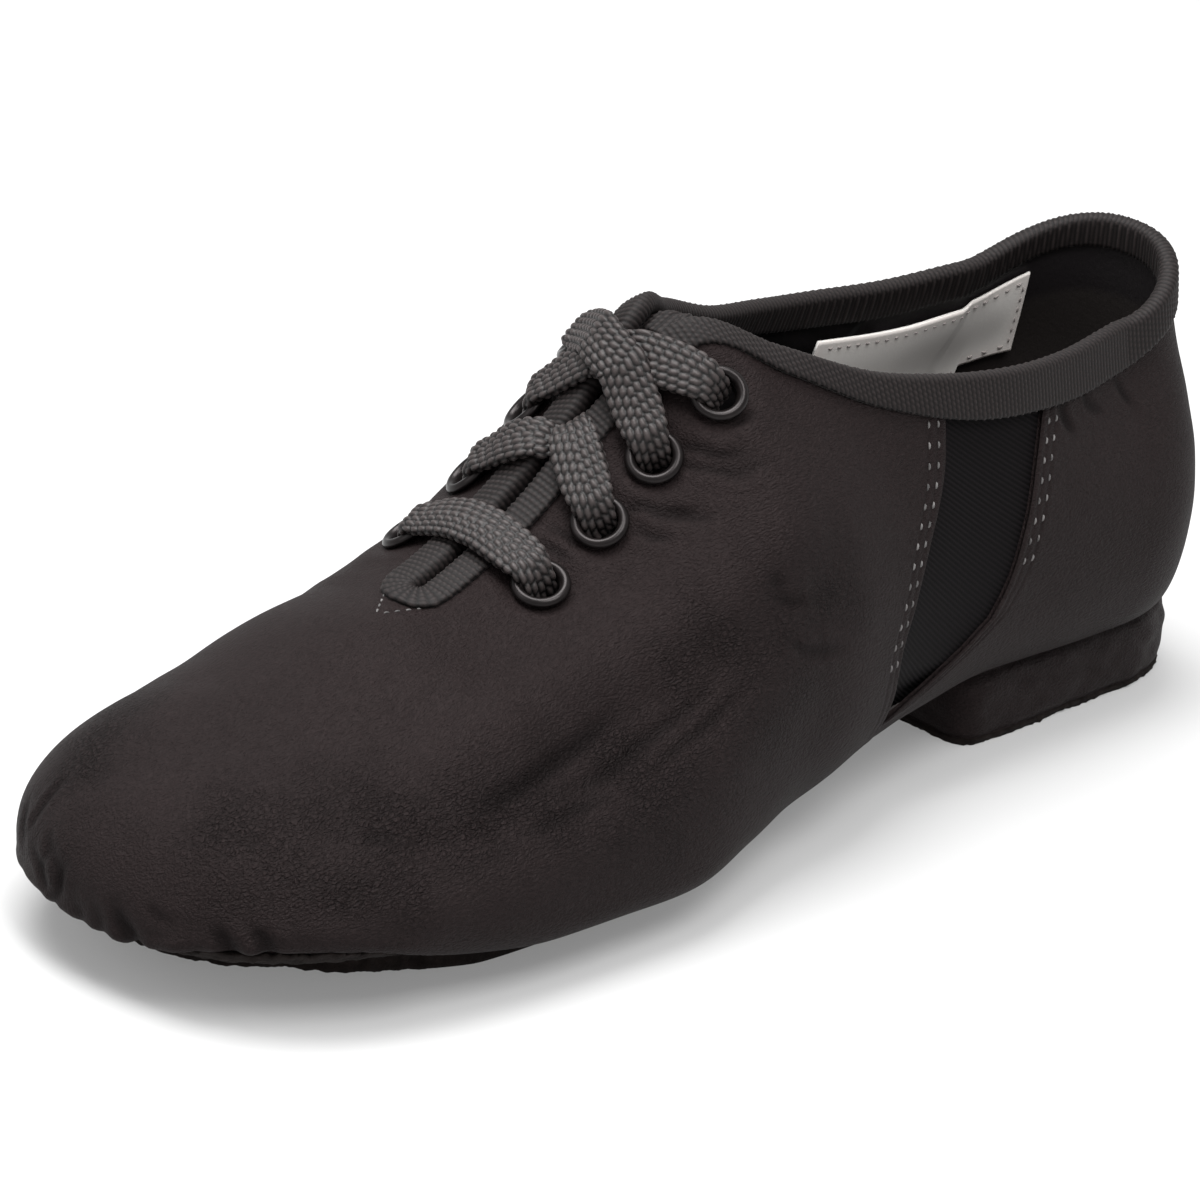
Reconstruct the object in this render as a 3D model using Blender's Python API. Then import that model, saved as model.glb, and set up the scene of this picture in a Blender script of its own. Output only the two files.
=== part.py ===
"""A left jazz shoe: a soft leather upper, open at a bound collar and a short laced throat, with an
elastic gore on each side, over a separate suede forefoot pad and a low leather-covered heel.

The row's frame: Z up from the floor, toe towards -Y, +X the outer side, origin at the middle of the
heel's flat underside."""
import math

import bmesh
import bpy
import numpy as np

# Named sizes, in metres. Shares below are of these.
LENGTH = 0.252          # outside, back of the heel to the tip of the toe
BALL_WIDTH = 0.086      # widest outside width, across the ball
INSTEP_HEIGHT = 0.085   # floor to the throat's upper corners
HEEL_HEIGHT = 0.014     # floor to the underside of the upper at the heel
BACK_HEIGHT = 0.0793    # floor to the collar edge at the back
WALL = 0.0016           # leather and lining together
HEEL_CENTRE = 0.032     # from the back to the row's origin, along the foot

# One row per section: share of LENGTH from the back, outer and inner half width
# (of BALL_WIDTH), height of the widest point (of INSTEP_HEIGHT), underside
# (of HEEL_HEIGHT), top edge (of INSTEP_HEIGHT), half opening outside and inside
# (of BALL_WIDTH), lean of the wall at its top in degrees, ridge offset towards
# the inner side (of BALL_WIDTH), width of the underside's rounded corner (of BALL_WIDTH).
COLUMNS = ("s", "outer", "inner", "waist", "sole", "top", "gap_outer", "gap_inner", "lean", "ridge", "corner")
SECTIONS = np.array([
    (0.119, 0.368, 0.360, 0.365, 1.000, 0.821, 0.205, 0.223, 82.0, 0.000, 0.105),
    (0.200, 0.362, 0.355, 0.370, 1.000, 0.813, 0.242, 0.249, 80.0, 0.000, 0.112),
    (0.270, 0.362, 0.347, 0.359, 1.000, 0.826, 0.260, 0.260, 77.5, 0.000, 0.125),
    (0.340, 0.373, 0.342, 0.346, 0.860, 0.849, 0.246, 0.246, 72.0, -0.003, 0.150),
    (0.400, 0.393, 0.343, 0.338, 0.707, 0.880, 0.214, 0.210, 66.0, -0.008, 0.165),
    (0.470, 0.436, 0.366, 0.324, 0.529, 0.953, 0.155, 0.143, 48.0, -0.026, 0.175),
    (0.520, 0.450, 0.390, 0.273, 0.371, 1.000, 0.065, 0.060, 34.0, -0.044, 0.185),
    (0.570, 0.476, 0.419, 0.212, 0.293, 0.853, 0.028, 0.028, 22.0, -0.064, 0.186),
    (0.630, 0.508, 0.453, 0.153, 0.270, 0.682, 0.026, 0.026, 13.0, -0.081, 0.186),
    (0.700, 0.509, 0.488, 0.142, 0.300, 0.569, 0.023, 0.023, 6.0, -0.076, 0.200),
    (0.780, 0.491, 0.488, 0.148, 0.310, 0.521, 0.023, 0.023, 2.0, -0.056, 0.200),
    (0.857, 0.449, 0.450, 0.190, 0.460, 0.442, 0.023, 0.023, 0.0, -0.037, 0.210),
])
UNITS = np.array([LENGTH, BALL_WIDTH, BALL_WIDTH, INSTEP_HEIGHT, HEEL_HEIGHT, INSTEP_HEIGHT,
                  BALL_WIDTH, BALL_WIDTH, math.pi / 180, BALL_WIDTH, BALL_WIDTH])
# The two rounded ends: what the sections become at the heel's back and the toe's tip.
BACK = {"waist": 0.0388, "sole": HEEL_HEIGHT, "top": BACK_HEIGHT, "opening": 0.0246, "lean": math.radians(88),
        "corner": 0.0035, "power": 2.2}
TIP = {"waist": 0.0135, "sole": 0.0064, "offset": -0.0041, "corner": 0.0145}
SLIT_END = 0.730 * LENGTH     # front end of the throat slit
SLIT_RAMP = 0.004             # length over which the slit opens


def table(s):
    """Every column of SECTIONS at the distances s along the foot: a smooth curve through the rows."""
    x, y = SECTIONS[:, 0] * LENGTH, SECTIONS[:, 1:] * UNITS[1:]
    h = np.diff(x)
    d = np.diff(y, axis=0) / h[:, None]
    m = np.empty_like(y)
    m[0], m[-1] = d[0], d[-1]
    m[1:-1] = (d[:-1] * h[1:, None] + d[1:] * h[:-1, None]) / (h[1:] + h[:-1])[:, None]
    i = np.clip(np.searchsorted(x, s, side="right") - 1, 0, len(x) - 2)
    t = ((s - x[i]) / h[i])[..., None]
    k = h[i][..., None]
    value = ((2 * t**3 - 3 * t**2 + 1) * y[i] + (t**3 - 2 * t**2 + t) * k * m[i]
             + (3 * t**2 - 2 * t**3) * y[i + 1] + (t**3 - t**2) * k * m[i + 1])
    return dict(zip(COLUMNS[1:], np.moveaxis(value, -1, 0)))


def ribs(side, u):
    """The ribs of one side (+1 outer, -1 inner) at u: 0 back, 1 heel section, 2 toe section, 3 tip.
    Each stands on a spine point and runs out along a plan direction."""
    u = np.atleast_1d(np.asarray(u, float))
    first, last = SECTIONS[0, 0] * LENGTH, SECTIONS[-1, 0] * LENGTH
    s = first + np.clip(u - 1, 0, 1) * (last - first)
    c = table(s)
    name = "outer" if side > 0 else "inner"
    ramp = np.clip((SLIT_END - s) / SLIT_RAMP, 0, 1)
    r = {"x": c["ridge"].copy(), "s": s, "dx": np.full(u.shape, float(side)), "dy": np.zeros(u.shape),
         "wide": c[name] - side * c["ridge"], "waist": c["waist"], "sole": c["sole"], "top": c["top"],
         "gap": c["gap_" + name] * ramp, "lean": c["lean"], "corner": c["corner"], "slope": np.zeros(u.shape)}
    heel = u < 1
    if heel.any():
        p = u[heel] * math.pi / 2
        e = 2 / BACK["power"]
        a = np.cos(p) ** 2
        px, py = r["wide"][heel] * np.sin(p) ** e, first * np.cos(p) ** e
        wide = np.hypot(px, py)
        cx, cy = r["gap"][heel] * np.sin(p) ** e, BACK["opening"] * np.cos(p) ** e
        r["dx"][heel], r["dy"][heel] = side * px / wide, py / wide
        r["wide"][heel], r["gap"][heel] = wide, np.hypot(cx, cy)
        for key in ("waist", "sole", "top", "lean"):
            r[key][heel] = r[key][heel] * (1 - a) + BACK[key] * a
        r["corner"][heel] = BACK["corner"] + (r["corner"][heel] - BACK["corner"]) * (1 - a) ** 2
    toe = u > 2
    if toe.any():
        t = u[toe] - 2
        a = np.sin(t * math.pi / 2) ** 2
        end = table(np.array([last, last - 0.002]))
        width = end[name] - side * end["ridge"]
        bend, front = (width[0] - width[1]) / 0.002, LENGTH - last
        tip = side * (TIP["offset"] - end["ridge"][0])
        b = ((1 - t) ** 3, 3 * (1 - t) ** 2 * t, 3 * (1 - t) * t**2, t**3)
        px = b[0] * width[0] + b[1] * (width[0] + bend * 0.58 * front)
        px += b[2] * (tip + 0.60 * width[0]) + b[3] * tip
        py = b[1] * 0.58 * front + (b[2] + b[3]) * front
        wide = np.hypot(px, py)
        r["dx"][toe], r["dy"][toe], r["wide"][toe] = side * px / wide, -py / wide, wide
        for key in ("waist", "sole", "corner"):
            r[key][toe] = r[key][toe] * (1 - a) + TIP[key] * a
        r["slope"][toe] = (end["top"][0] - end["top"][1]) / 0.002 * np.sin(t * math.pi / 2)
    return r


def profile(r, v):
    """Reach and height along the ribs at v: -1 to 0 the flat underside from the spine, 0 to 1 the
    rounded corner, 1 to 2 the wall up to the edge or ridge."""
    v = np.asarray(v, float)
    g = {k: np.asarray(q)[..., None] for k, q in r.items()}
    flat, lift, rise = g["wide"] - g["corner"], g["waist"] - g["sole"], g["top"] - g["waist"]
    t = np.clip(v, 0, 1)
    b = ((1 - t) ** 3, 3 * (1 - t) ** 2 * t, 3 * (1 - t) * t**2, t**3)
    reach = b[0] * flat + b[1] * (flat + 0.63 * g["corner"]) + (b[2] + b[3]) * g["wide"]
    height = (b[0] + b[1]) * g["sole"] + b[2] * (g["waist"] - 0.6 * lift) + b[3] * g["waist"]
    t = np.clip(v - 1, 0, 1)
    b = ((1 - t) ** 3, 3 * (1 - t) ** 2 * t, 3 * (1 - t) * t**2, t**3)
    span = np.hypot(g["wide"] - g["gap"], rise)
    pull = 0.35 * span * np.sin(g["lean"]) + 0.52 * (g["wide"] - g["gap"]) * np.cos(g["lean"])
    pulled_r = g["gap"] + pull * np.cos(g["lean"])
    pulled_h = g["top"] - pull * np.sin(g["lean"]) + pull * g["slope"]
    wall_r = (b[0] + b[1]) * g["wide"] + b[2] * pulled_r + b[3] * g["gap"]
    wall_h = b[0] * g["waist"] + b[1] * (g["waist"] + 0.5 * rise) + b[2] * pulled_h + b[3] * g["top"]
    reach = np.where(v < 0, flat * (1 + v), np.where(v > 1, wall_r, reach))
    height = np.where(v < 0, g["sole"], np.where(v > 1, wall_h, height))
    return reach, height


def place(r, reach, height):
    """Points in the row's frame from reach and height along the ribs."""
    g = {k: np.asarray(q)[..., None] for k, q in r.items()}
    x, y = g["x"] + g["dx"] * reach, HEEL_CENTRE - g["s"] + g["dy"] * reach
    return np.stack([x, y, height + 0 * reach], -1)


FINE = np.linspace(0, 2, 161)


def down(side, u, a):
    """The v at which each rib is the arc length a below its top edge or ridge; u and a share a shape."""
    u, a = np.broadcast_arrays(np.asarray(u, float), np.asarray(a, float))
    reach, height = profile(ribs(side, u.ravel()), FINE)
    step = np.hypot(np.diff(reach, axis=1), np.diff(height, axis=1))
    run = np.concatenate([np.zeros((len(step), 1)), np.cumsum(step[:, ::-1], 1)], 1)
    return np.array([np.interp(q, line, FINE[::-1]) for q, line in zip(a.ravel(), run)]).reshape(u.shape)


def skin(side, u, a):
    """Point and outward normal on the upper's outside at the arc length a below the edge."""
    u, a = np.broadcast_arrays(np.asarray(u, float), np.asarray(a, float))

    def at(q, w):
        r = ribs(side, q.ravel())
        return place(r, *profile(r, down(side, q.ravel(), w.ravel())[:, None]))[:, 0]

    h, k = 0.004, 0.0006
    p = at(u, a)
    du = at(np.minimum(u + h, 3), a) - at(np.maximum(u - h, 0), a)
    lo, hi = np.maximum(a - k, 0), a + k
    da = at(u, hi) - at(u, lo)
    n = np.cross(du, da) * side
    n /= np.linalg.norm(n, axis=1)[:, None]
    return p.reshape(u.shape + (3,)), n.reshape(u.shape + (3,))


def u_of(s):
    first, last = SECTIONS[0, 0] * LENGTH, SECTIONS[-1, 0] * LENGTH
    return 1 + (np.asarray(s, float) - first) / (last - first)


def across(b, s):
    """Point and normal at the arc length b from the ridge line (+ towards the outer side) and s along
    the foot, bridging the throat's opening."""
    b, s = np.broadcast_arrays(np.asarray(b, float), np.asarray(s, float))
    shape = b.shape
    b, s = b.ravel(), s.ravel()
    u = u_of(s)
    gap = {k: ribs(k, u)["gap"] for k in (1, -1)}
    point, normal = {}, {}
    for k in (1, -1):
        point[k], normal[k] = skin(k, u, np.maximum(k * b - gap[k], 0))
    t = np.clip((b + gap[-1]) / np.maximum(gap[1] + gap[-1], 1e-9), 0, 1)[:, None]
    t = np.where((gap[1] + gap[-1] < 1e-6)[:, None], (b > 0)[:, None] * 1.0, t)
    p = point[-1] * (1 - t) + point[1] * t
    n = normal[-1] * (1 - t) + normal[1] * t
    n /= np.linalg.norm(n, axis=1)[:, None]
    return p.reshape(shape + (3,)), n.reshape(shape + (3,))


# Pieces of the shoe: thicknesses and clearances, in metres.
CLEAR = 0.0003                # between neighbouring pieces
TAPE = 0.0009                 # binding tape
TAPE_ROWS = (0.0, 0.0032, 0.0064)   # down from the edge: the tape's outer leg ends at the last
EYELET_DOWN = 0.0132          # eyelet centres below the throat's edge
EYELETS = (0.663, 0.613, 0.571, 0.528)   # along the foot, share of LENGTH
EYELET_HOLE, EYELET_BARREL, EYELET_FLANGE = 0.0036, 0.0033, 0.0054
LACE_WIDTH, LACE_THICK = 0.0080, 0.0012
PAD = 0.0040                  # suede under the forefoot
PAD_SIDE = np.array([(1.5, 0.20), (1.9, 0.24), (2.1, 0.12), (2.3, -0.06), (2.7, -0.10), (3.0, 0.04)])
# PAD_SIDE: how far the pad reaches past the flat underside, as a share of the corner, by rib number
SOCK = 0.0015                 # insole
GORE = 0.0012                 # elastic
LABEL_TOP, LABEL_LOW = 0.0068, (0.0250, 0.0350)   # below the edge: its top, and its bottom behind and in front
OPEN_HEEL = 0.250 * LENGTH    # the upper is open underneath behind this
OPEN_PAD = 0.560 * LENGTH     # and in front of this

# The gore windows, rear edge then front edge: share of LENGTH, and down from the collar edge.
GORE_REAR = ((0.226, 0.0042), (0.252, 0.0170), (0.268, 0.0270),
             (0.287, 0.0375), (0.322, 0.0460), (0.362, 0.0530))
GORE_FRONT = ((0.338, 0.0042), (0.352, 0.0166), (0.374, 0.0270),
              (0.395, 0.0380), (0.410, 0.0480), (0.412, 0.0560))

# Each material: colour, roughness, metal.
MATERIALS = {
    "leather": ((0.028, 0.022, 0.022), 0.48, 0.0),
    "elastic": ((0.012, 0.010, 0.011), 0.85, 0.0),
    "tape": ((0.024, 0.020, 0.020), 0.80, 0.0),
    "lace": ((0.040, 0.033, 0.031), 0.85, 0.0),
    "eyelet": ((0.012, 0.012, 0.012), 0.30, 1.0),
    "suede": ((0.030, 0.025, 0.023), 0.95, 0.0),
    "lining": ((0.010, 0.009, 0.009), 0.80, 0.0),
    "label": ((0.780, 0.700, 0.640), 0.55, 0.0),
}


def clear_scene():
    for obj in list(bpy.data.objects):
        bpy.data.objects.remove(obj, do_unlink=True)


def material(name):
    if name not in bpy.data.materials:
        colour, rough, metal = MATERIALS[name]
        m = bpy.data.materials.new(name)
        m.use_nodes = True
        shader = m.node_tree.nodes["Principled BSDF"]
        shader.inputs["Base Color"].default_value = (*colour, 1.0)
        shader.inputs["Roughness"].default_value = rough
        shader.inputs["Metallic"].default_value = metal
    return bpy.data.materials[name]


def solid(name, verts, faces, slot):
    """A mesh object from points and polygons: equal points welded, collapsed faces dropped, faces
    turned outwards."""
    verts = np.asarray(verts, float)
    _, first, index = np.unique(np.round(verts, 7), axis=0, return_index=True, return_inverse=True)
    index = index.reshape(-1)
    clean = []
    for face in faces:
        ids = [int(index[k]) for k in face]
        ids = [k for i, k in enumerate(ids) if k != ids[i - 1]]
        if len(set(ids)) >= 3:
            clean.append(ids)
    mesh = bpy.data.meshes.new(name)
    mesh.from_pydata(verts[first].tolist(), [], clean)
    bm = bmesh.new()
    bm.from_mesh(mesh)
    bmesh.ops.recalc_face_normals(bm, faces=bm.faces)
    bmesh.ops.triangulate(bm, faces=bm.faces)
    if bm.calc_volume(signed=True) < 0:
        bmesh.ops.reverse_faces(bm, faces=bm.faces)
    bm.to_mesh(mesh)
    bm.free()
    obj = bpy.data.objects.new(name, mesh)
    obj.data.materials.append(material(slot))
    bpy.context.scene.collection.objects.link(obj)
    return obj


def cutter(name, verts, faces):
    obj = solid(name, verts, faces, "leather")
    obj.hide_render = True
    obj.display_type = "WIRE"
    return obj


def cut(obj, tool):
    m = obj.modifiers.new("cut_" + tool.name, "BOOLEAN")
    m.operation, m.solver, m.object = "DIFFERENCE", "EXACT", tool


def tube_faces(rows, around, closed_rows, offset=0):
    """Quads over a grid of rows x around points; around is always a ring."""
    faces = []
    last = rows if closed_rows else rows - 1
    for i in range(last):
        a, b = offset + i * around, offset + ((i + 1) % rows) * around
        for j in range(around):
            k = (j + 1) % around
            faces.append((a + j, a + k, b + k, b + j))
    if not closed_rows:
        faces.append(tuple(offset + j for j in range(around))[::-1])
        faces.append(tuple(offset + (rows - 1) * around + j for j in range(around)))
    return faces


# Where the ribs of the faceted upper stand, on either side.
MIDDLE = [0.119, 0.150, 0.185, 0.220, 0.250, 0.285, 0.320, 0.355, 0.390, 0.425, 0.455, 0.485, 0.510,
          0.535, 0.560, 0.590, 0.622, 0.655, 0.686, (SLIT_END - SLIT_RAMP) / LENGTH, SLIT_END / LENGTH,
          0.770, 0.812, 0.857]
MIDDLE_U = u_of(np.array(MIDDLE) * LENGTH)
STATIONS = np.concatenate([np.linspace(0, 1, 8)[:-1], MIDDLE_U, np.linspace(2, 3, 9)[1:]])
LOW_ROWS = np.array([0.0, 0.34, 0.67, 1.0])


def upper_rows(side, u):
    """The v values of every rib: opening edge, corner, wall, then the tape's rows under the edge."""
    edge = np.stack([down(side, u, np.full(u.shape, a)) for a in TAPE_ROWS[::-1]], 1)
    share = np.linspace(0, 1, 7)[1:-1]
    wall = 1 + (edge[:, :1] - 1) * share
    low = np.broadcast_to(LOW_ROWS, (len(u), len(LOW_ROWS)))
    return np.concatenate([np.full((len(u), 1), -1.0), np.full((len(u), 1), -0.22), low, wall, edge], 1)


def upper():
    """The leather upper: one wall of real thickness over the ribs, open at the collar and throat and
    under the heel and forefoot."""
    ring = []
    n = len(STATIONS)
    for side in (1, -1):
        r = ribs(side, STATIONS)
        v = upper_rows(side, STATIONS)
        reach, height = profile(r, v)
        rows = place(r, reach, height)
        ring.append(rows)
    # once round: the outer side forwards, the inner side back
    rows = np.concatenate([ring[0], ring[1][-2:0:-1]])
    u = np.concatenate([STATIONS, STATIONS[-2:0:-1]])
    count, across_rows = rows.shape[:2]
    verts = rows.reshape(-1, 3)
    faces = []
    s = (SECTIONS[0, 0] + np.clip(u - 1, 0, 1) * (SECTIONS[-1, 0] - SECTIONS[0, 0])) * LENGTH
    for i in range(count):
        k = (i + 1) % count
        inside = min(s[i], s[k]) >= OPEN_HEEL - 1e-6 and max(s[i], s[k]) <= OPEN_PAD + 1e-6
        arch = inside and max(u[i], u[k]) <= 2 and min(u[i], u[k]) >= 1
        for j in range(across_rows - 1):
            if j == 0 and not arch:
                continue
            a, b = i * across_rows + j, k * across_rows + j
            faces.append((a, b, b + 1, a + 1))
    # weld, so that the two sides share the ridge and the arch's middle line
    _, first, index = np.unique(np.round(verts, 7), axis=0, return_index=True, return_inverse=True)
    index = index.reshape(-1)
    points = verts[first]
    polys = []
    for face in faces:
        ids = [int(index[q]) for q in face]
        ids = [q for a, q in enumerate(ids) if q != ids[a - 1]]
        if len(set(ids)) >= 3:
            polys.append(ids)
    normal = vertex_normals(points, polys)
    inner = points - normal * WALL
    total = len(points)
    used = {}
    for ids in polys:
        for a, b in zip(ids, ids[1:] + ids[:1]):
            used.setdefault((min(a, b), max(a, b)), []).append((a, b))
    rim = [pair[0] for pair in used.values() if len(pair) == 1]
    every = list(polys) + [[q + total for q in ids[::-1]] for ids in polys]
    every += [[b, a, a + total, b + total] for a, b in rim]
    obj = solid("upper", np.concatenate([points, inner]), every, "leather")
    lookup = {"points": points, "normal": normal, "index": index.reshape(count, across_rows), "u": u, "n": n}
    return obj, lookup


def vertex_normals(points, polys):
    """Area-weighted outward normals of a welded open mesh."""
    total = np.zeros_like(points)
    for ids in polys:
        p = points[ids]
        c = p.mean(0)
        area = np.zeros(3)
        for a in range(len(ids)):
            area += np.cross(p[a] - c, p[(a + 1) % len(ids)] - c)
        for q in ids:
            total[q] += area
    total /= np.maximum(np.linalg.norm(total, axis=1), 1e-12)[:, None]
    # ribs run outwards on the outer side first, so faces wind one way: turn them to face out
    middle = np.array([0.0, -0.09, 0.03])
    if (total * (points - middle)).sum() < 0:
        total = -total
    return total


def tape_ring(points, normals):
    """One cross-section of the binding from three points down from the edge and their normals: a leg
    outside, a turn over the edge and a short leg inside."""
    p, n = points, normals
    over = p[0] - p[1]
    over = over - n[0] * np.dot(over, n[0])
    over = over / np.linalg.norm(over)
    out, ins = CLEAR + TAPE, WALL + CLEAR + TAPE
    return np.array([
        p[2] + n[2] * out, p[1] + n[1] * out, p[0] + n[0] * out * 0.95 + over * 0.2 * out,
        p[0] + over * out - n[0] * 0.1 * WALL, p[0] + over * out - n[0] * 0.9 * WALL,
        p[0] - n[0] * ins * 0.97 + over * 0.2 * out, p[1] - n[1] * ins,
        p[1] - n[1] * (WALL + CLEAR), p[0] - n[0] * (WALL + CLEAR) + over * CLEAR,
        p[0] + n[0] * CLEAR + over * CLEAR,
        p[1] + n[1] * CLEAR, p[2] + n[2] * CLEAR])


def binding(look):
    """The binding tape: one closed loop round the collar, both edges of the throat and the slit's
    front end."""
    index, points, normal, u = look["index"], look["points"], look["normal"], look["u"]
    turn = u_of(SLIT_END - SLIT_RAMP)
    rings = []
    # the outer side from the slit to the back, then the inner side from the back to the slit
    order = [i for i in range(look["n"]) if u[i] <= turn + 1e-9][::-1]
    order += [i for i in range(len(u) - 1, look["n"] - 1, -1) if u[i] <= turn + 1e-9]
    for i in order:
        rows = [index[i, -1], index[i, -2], index[i, -3]]
        rings.append(tape_ring(points[rows], normal[rows]))
    centre = SLIT_END - SLIT_RAMP
    gap = float(table(np.array([centre]))["gap_outer"][0])
    slope = table(np.array([centre - 0.002, centre + 0.002]))["top"]
    along = 1 / math.hypot(1, (slope[1] - slope[0]) / 0.004)
    for angle in np.radians([157, 134, 112, 90, 68, 46, 23]):
        reach = gap + np.array(TAPE_ROWS)
        p, n = across(reach * math.cos(angle), centre + reach * math.sin(angle) * along)
        rings.append(tape_ring(p, n))
    rings = np.array(rings)
    return solid("collar_binding", rings.reshape(-1, 3), tube_faces(len(rings), rings.shape[1], True), "tape")


def eyelet_frame(side, share):
    s = share * LENGTH
    p, n = skin(side, u_of(s), np.array(EYELET_DOWN))
    q, _ = skin(side, u_of(s), np.array(EYELET_DOWN + 0.002))
    x = q - p
    x = x - n * np.dot(x, n)
    x = x / np.linalg.norm(x)
    return p, n, x, np.cross(n, x)


def lathe(frame, profile_points, steps):
    p, n, x, y = frame
    rows = []
    for k in range(steps):
        a = 2 * math.pi * k / steps
        radial = x * math.cos(a) + y * math.sin(a)
        rows.append([p + radial * r + n * h for r, h in profile_points])
    rows = np.array(rows)
    return rows.reshape(-1, 3), tube_faces(steps, len(profile_points), True)


def eyelets():
    """Eight black metal eyelets: a flange outside and a barrel through the wall; their holes are cut
    in the upper."""
    holes_v, holes_f, made = [], [], []
    for side, word in ((1, "outer"), (-1, "inner")):
        for k, share in enumerate(EYELETS):
            frame = eyelet_frame(side, share)
            section = [(EYELET_BARREL - 0.0006, 0.0006), (EYELET_BARREL + 0.0005, 0.00135),
                       (EYELET_FLANGE - 0.0006, 0.0011), (EYELET_FLANGE, 0.0005), (EYELET_BARREL, 0.0005),
                       (EYELET_BARREL, -0.0022), (EYELET_BARREL - 0.0006, -0.0022)]
            verts, faces = lathe(frame, section, 16)
            made.append(solid("eyelet_%s_%d" % (word, k + 1), verts, faces, "eyelet"))
            p, n, x, y = frame
            turn = np.linspace(0, 2 * math.pi, 13)[:-1]
            ring = [p + (x * math.cos(a) + y * math.sin(a)) * EYELET_HOLE for a in turn]
            base = len(holes_v)
            holes_v += [q - n * 0.005 for q in ring] + [q + n * 0.004 for q in ring]
            holes_f.append(tuple(base + j for j in range(12))[::-1])
            holes_f.append(tuple(base + 12 + j for j in range(12)))
            for j in range(12):
                k2 = (j + 1) % 12
                holes_f.append((base + j, base + k2, base + 12 + k2, base + 12 + j))
    return made, holes_v, holes_f


def gore_edges(down_by, grow):
    """Rear and front edge of a gore at the depths below the collar, grown outwards all round."""
    rear, front = np.array(GORE_REAR), np.array(GORE_FRONT)
    low = np.interp(down_by, rear[:, 1], rear[:, 0]) * LENGTH - grow
    high = np.interp(down_by, front[:, 1], front[:, 0]) * LENGTH + grow
    return low, high


def gore_windows(base):
    """The two window cutters: prisms across the shoe, over each gore."""
    verts, faces = [], []
    for side in (1, -1):
        outline = []
        for edge in (GORE_REAR, GORE_FRONT[::-1]):
            for share, a in edge:
                p, _ = skin(side, u_of(share * LENGTH), np.array(a))
                outline.append(p)
        n = len(outline)
        start = base + len(verts)
        verts += [(side * 0.012, p[1], p[2]) for p in outline] + [(side * 0.060, p[1], p[2]) for p in outline]
        faces.append(tuple(start + j for j in range(n)))
        faces.append(tuple(start + n + j for j in range(n))[::-1])
        for j in range(n):
            k = (j + 1) % n
            faces.append((start + j, start + n + j, start + n + k, start + k))
    return verts, faces


def border(rows, cols):
    """The point numbers once round a grid's outline."""
    ahead = [i * cols + cols - 1 for i in range(1, rows)]
    back = [(rows - 1) * cols + j for j in range(cols - 2, -1, -1)]
    return list(range(cols)) + ahead + back + [i * cols for i in range(rows - 2, 0, -1)]


def patch(name, side, grid_u, grid_a, low, high, slot):
    """A sheet over the wall between two depths measured along the normal (negative is inside)."""
    p, n = skin(side, grid_u, grid_a)
    rows, cols = grid_u.shape
    low, high = (np.broadcast_to(q, grid_u.shape)[..., None] for q in (low, high))
    top, bottom = (p + n * high).reshape(-1, 3), (p + n * low).reshape(-1, 3)
    total = rows * cols
    faces = []
    for i in range(rows - 1):
        for j in range(cols - 1):
            q = (i * cols + j, (i + 1) * cols + j, (i + 1) * cols + j + 1, i * cols + j + 1)
            faces += [q, tuple(total + t for t in q[::-1])]
    loop = border(rows, cols)
    faces += [(a, total + a, total + b, b) for a, b in zip(loop, loop[1:] + loop[:1])]
    return solid(name, np.concatenate([top, bottom]), faces, slot)


def gores():
    depth = np.array([0.0038, 0.0085, 0.0150, 0.0220, 0.0290, 0.0360, 0.0430, 0.0500, 0.0575])
    for side, name in ((1, "gore_outer"), (-1, "gore_inner")):
        low, high = gore_edges(np.clip(depth, 0.0042, 0.0560), 0.0045)
        low[-1] += 0.004
        share = np.linspace(0, 1, 7)
        s = low[:, None] + (high - low)[:, None] * share
        a = np.broadcast_to(depth[:, None], s.shape)
        patch(name, side, u_of(s), a, -(WALL + 0.0006 + GORE), -(WALL + 0.0006), "elastic")


def label():
    """A plain sewn label inside, on the inner side below the collar, deeper in its front part."""
    u = np.array([0.500, 0.570, 0.640, 0.710, 0.766, 0.784, 0.860, 0.930, 1.000, 1.070, 1.140, 1.204])
    low_edge = np.where(u < 0.775, LABEL_LOW[0], LABEL_LOW[1])
    grid_u = np.repeat(u[:, None], 6, 1)
    grid_a = LABEL_TOP + (low_edge - LABEL_TOP)[:, None] * np.linspace(0, 1, 6)
    # it lies on the lining at the back and on the gore's inner face in front
    face = -(WALL + 0.0006) - np.clip((grid_u - 0.90) / 0.17, 0, 1) * (GORE + 0.0006)
    patch("label", -1, grid_u, grid_a, face - 0.0005, face, "label")


def plate(name, rim, spine, rim_low, rim_high, spine_low, spine_high, slot):
    """A plate from a ring of rim points, each joined to a spine point, with a height under and over
    every one."""
    n = len(rim)
    verts = [(*p, z) for p, z in zip(rim, rim_low)] + [(*p, z) for p, z in zip(rim, rim_high)]
    verts += [(*p, z) for p, z in zip(spine, spine_low)] + [(*p, z) for p, z in zip(spine, spine_high)]
    faces = []
    for i in range(n):
        k = (i + 1) % n
        faces += [(i, k, n + k, n + i), (n + i, n + k, 3 * n + k, 3 * n + i), (k, i, 2 * n + i, 2 * n + k)]
    return solid(name, verts, faces, slot)


def foot_ring(stations, grow):
    """Rim and spine points once round the underside, and the ribs they stand on: grow 0 is the flat's
    edge, 1 the widest line."""
    rims, spines, soles = [], [], []
    for side in (1, -1):
        r = ribs(side, stations)
        reach = (r["wide"] - r["corner"] * (1 - grow))[:, None]
        p = place(r, reach, r["sole"][:, None])[:, 0]
        q = place(r, 0 * reach, r["sole"][:, None])[:, 0]
        rims.append(p)
        spines.append(q)
        soles.append(r["sole"])
    return rims, spines, soles


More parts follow.
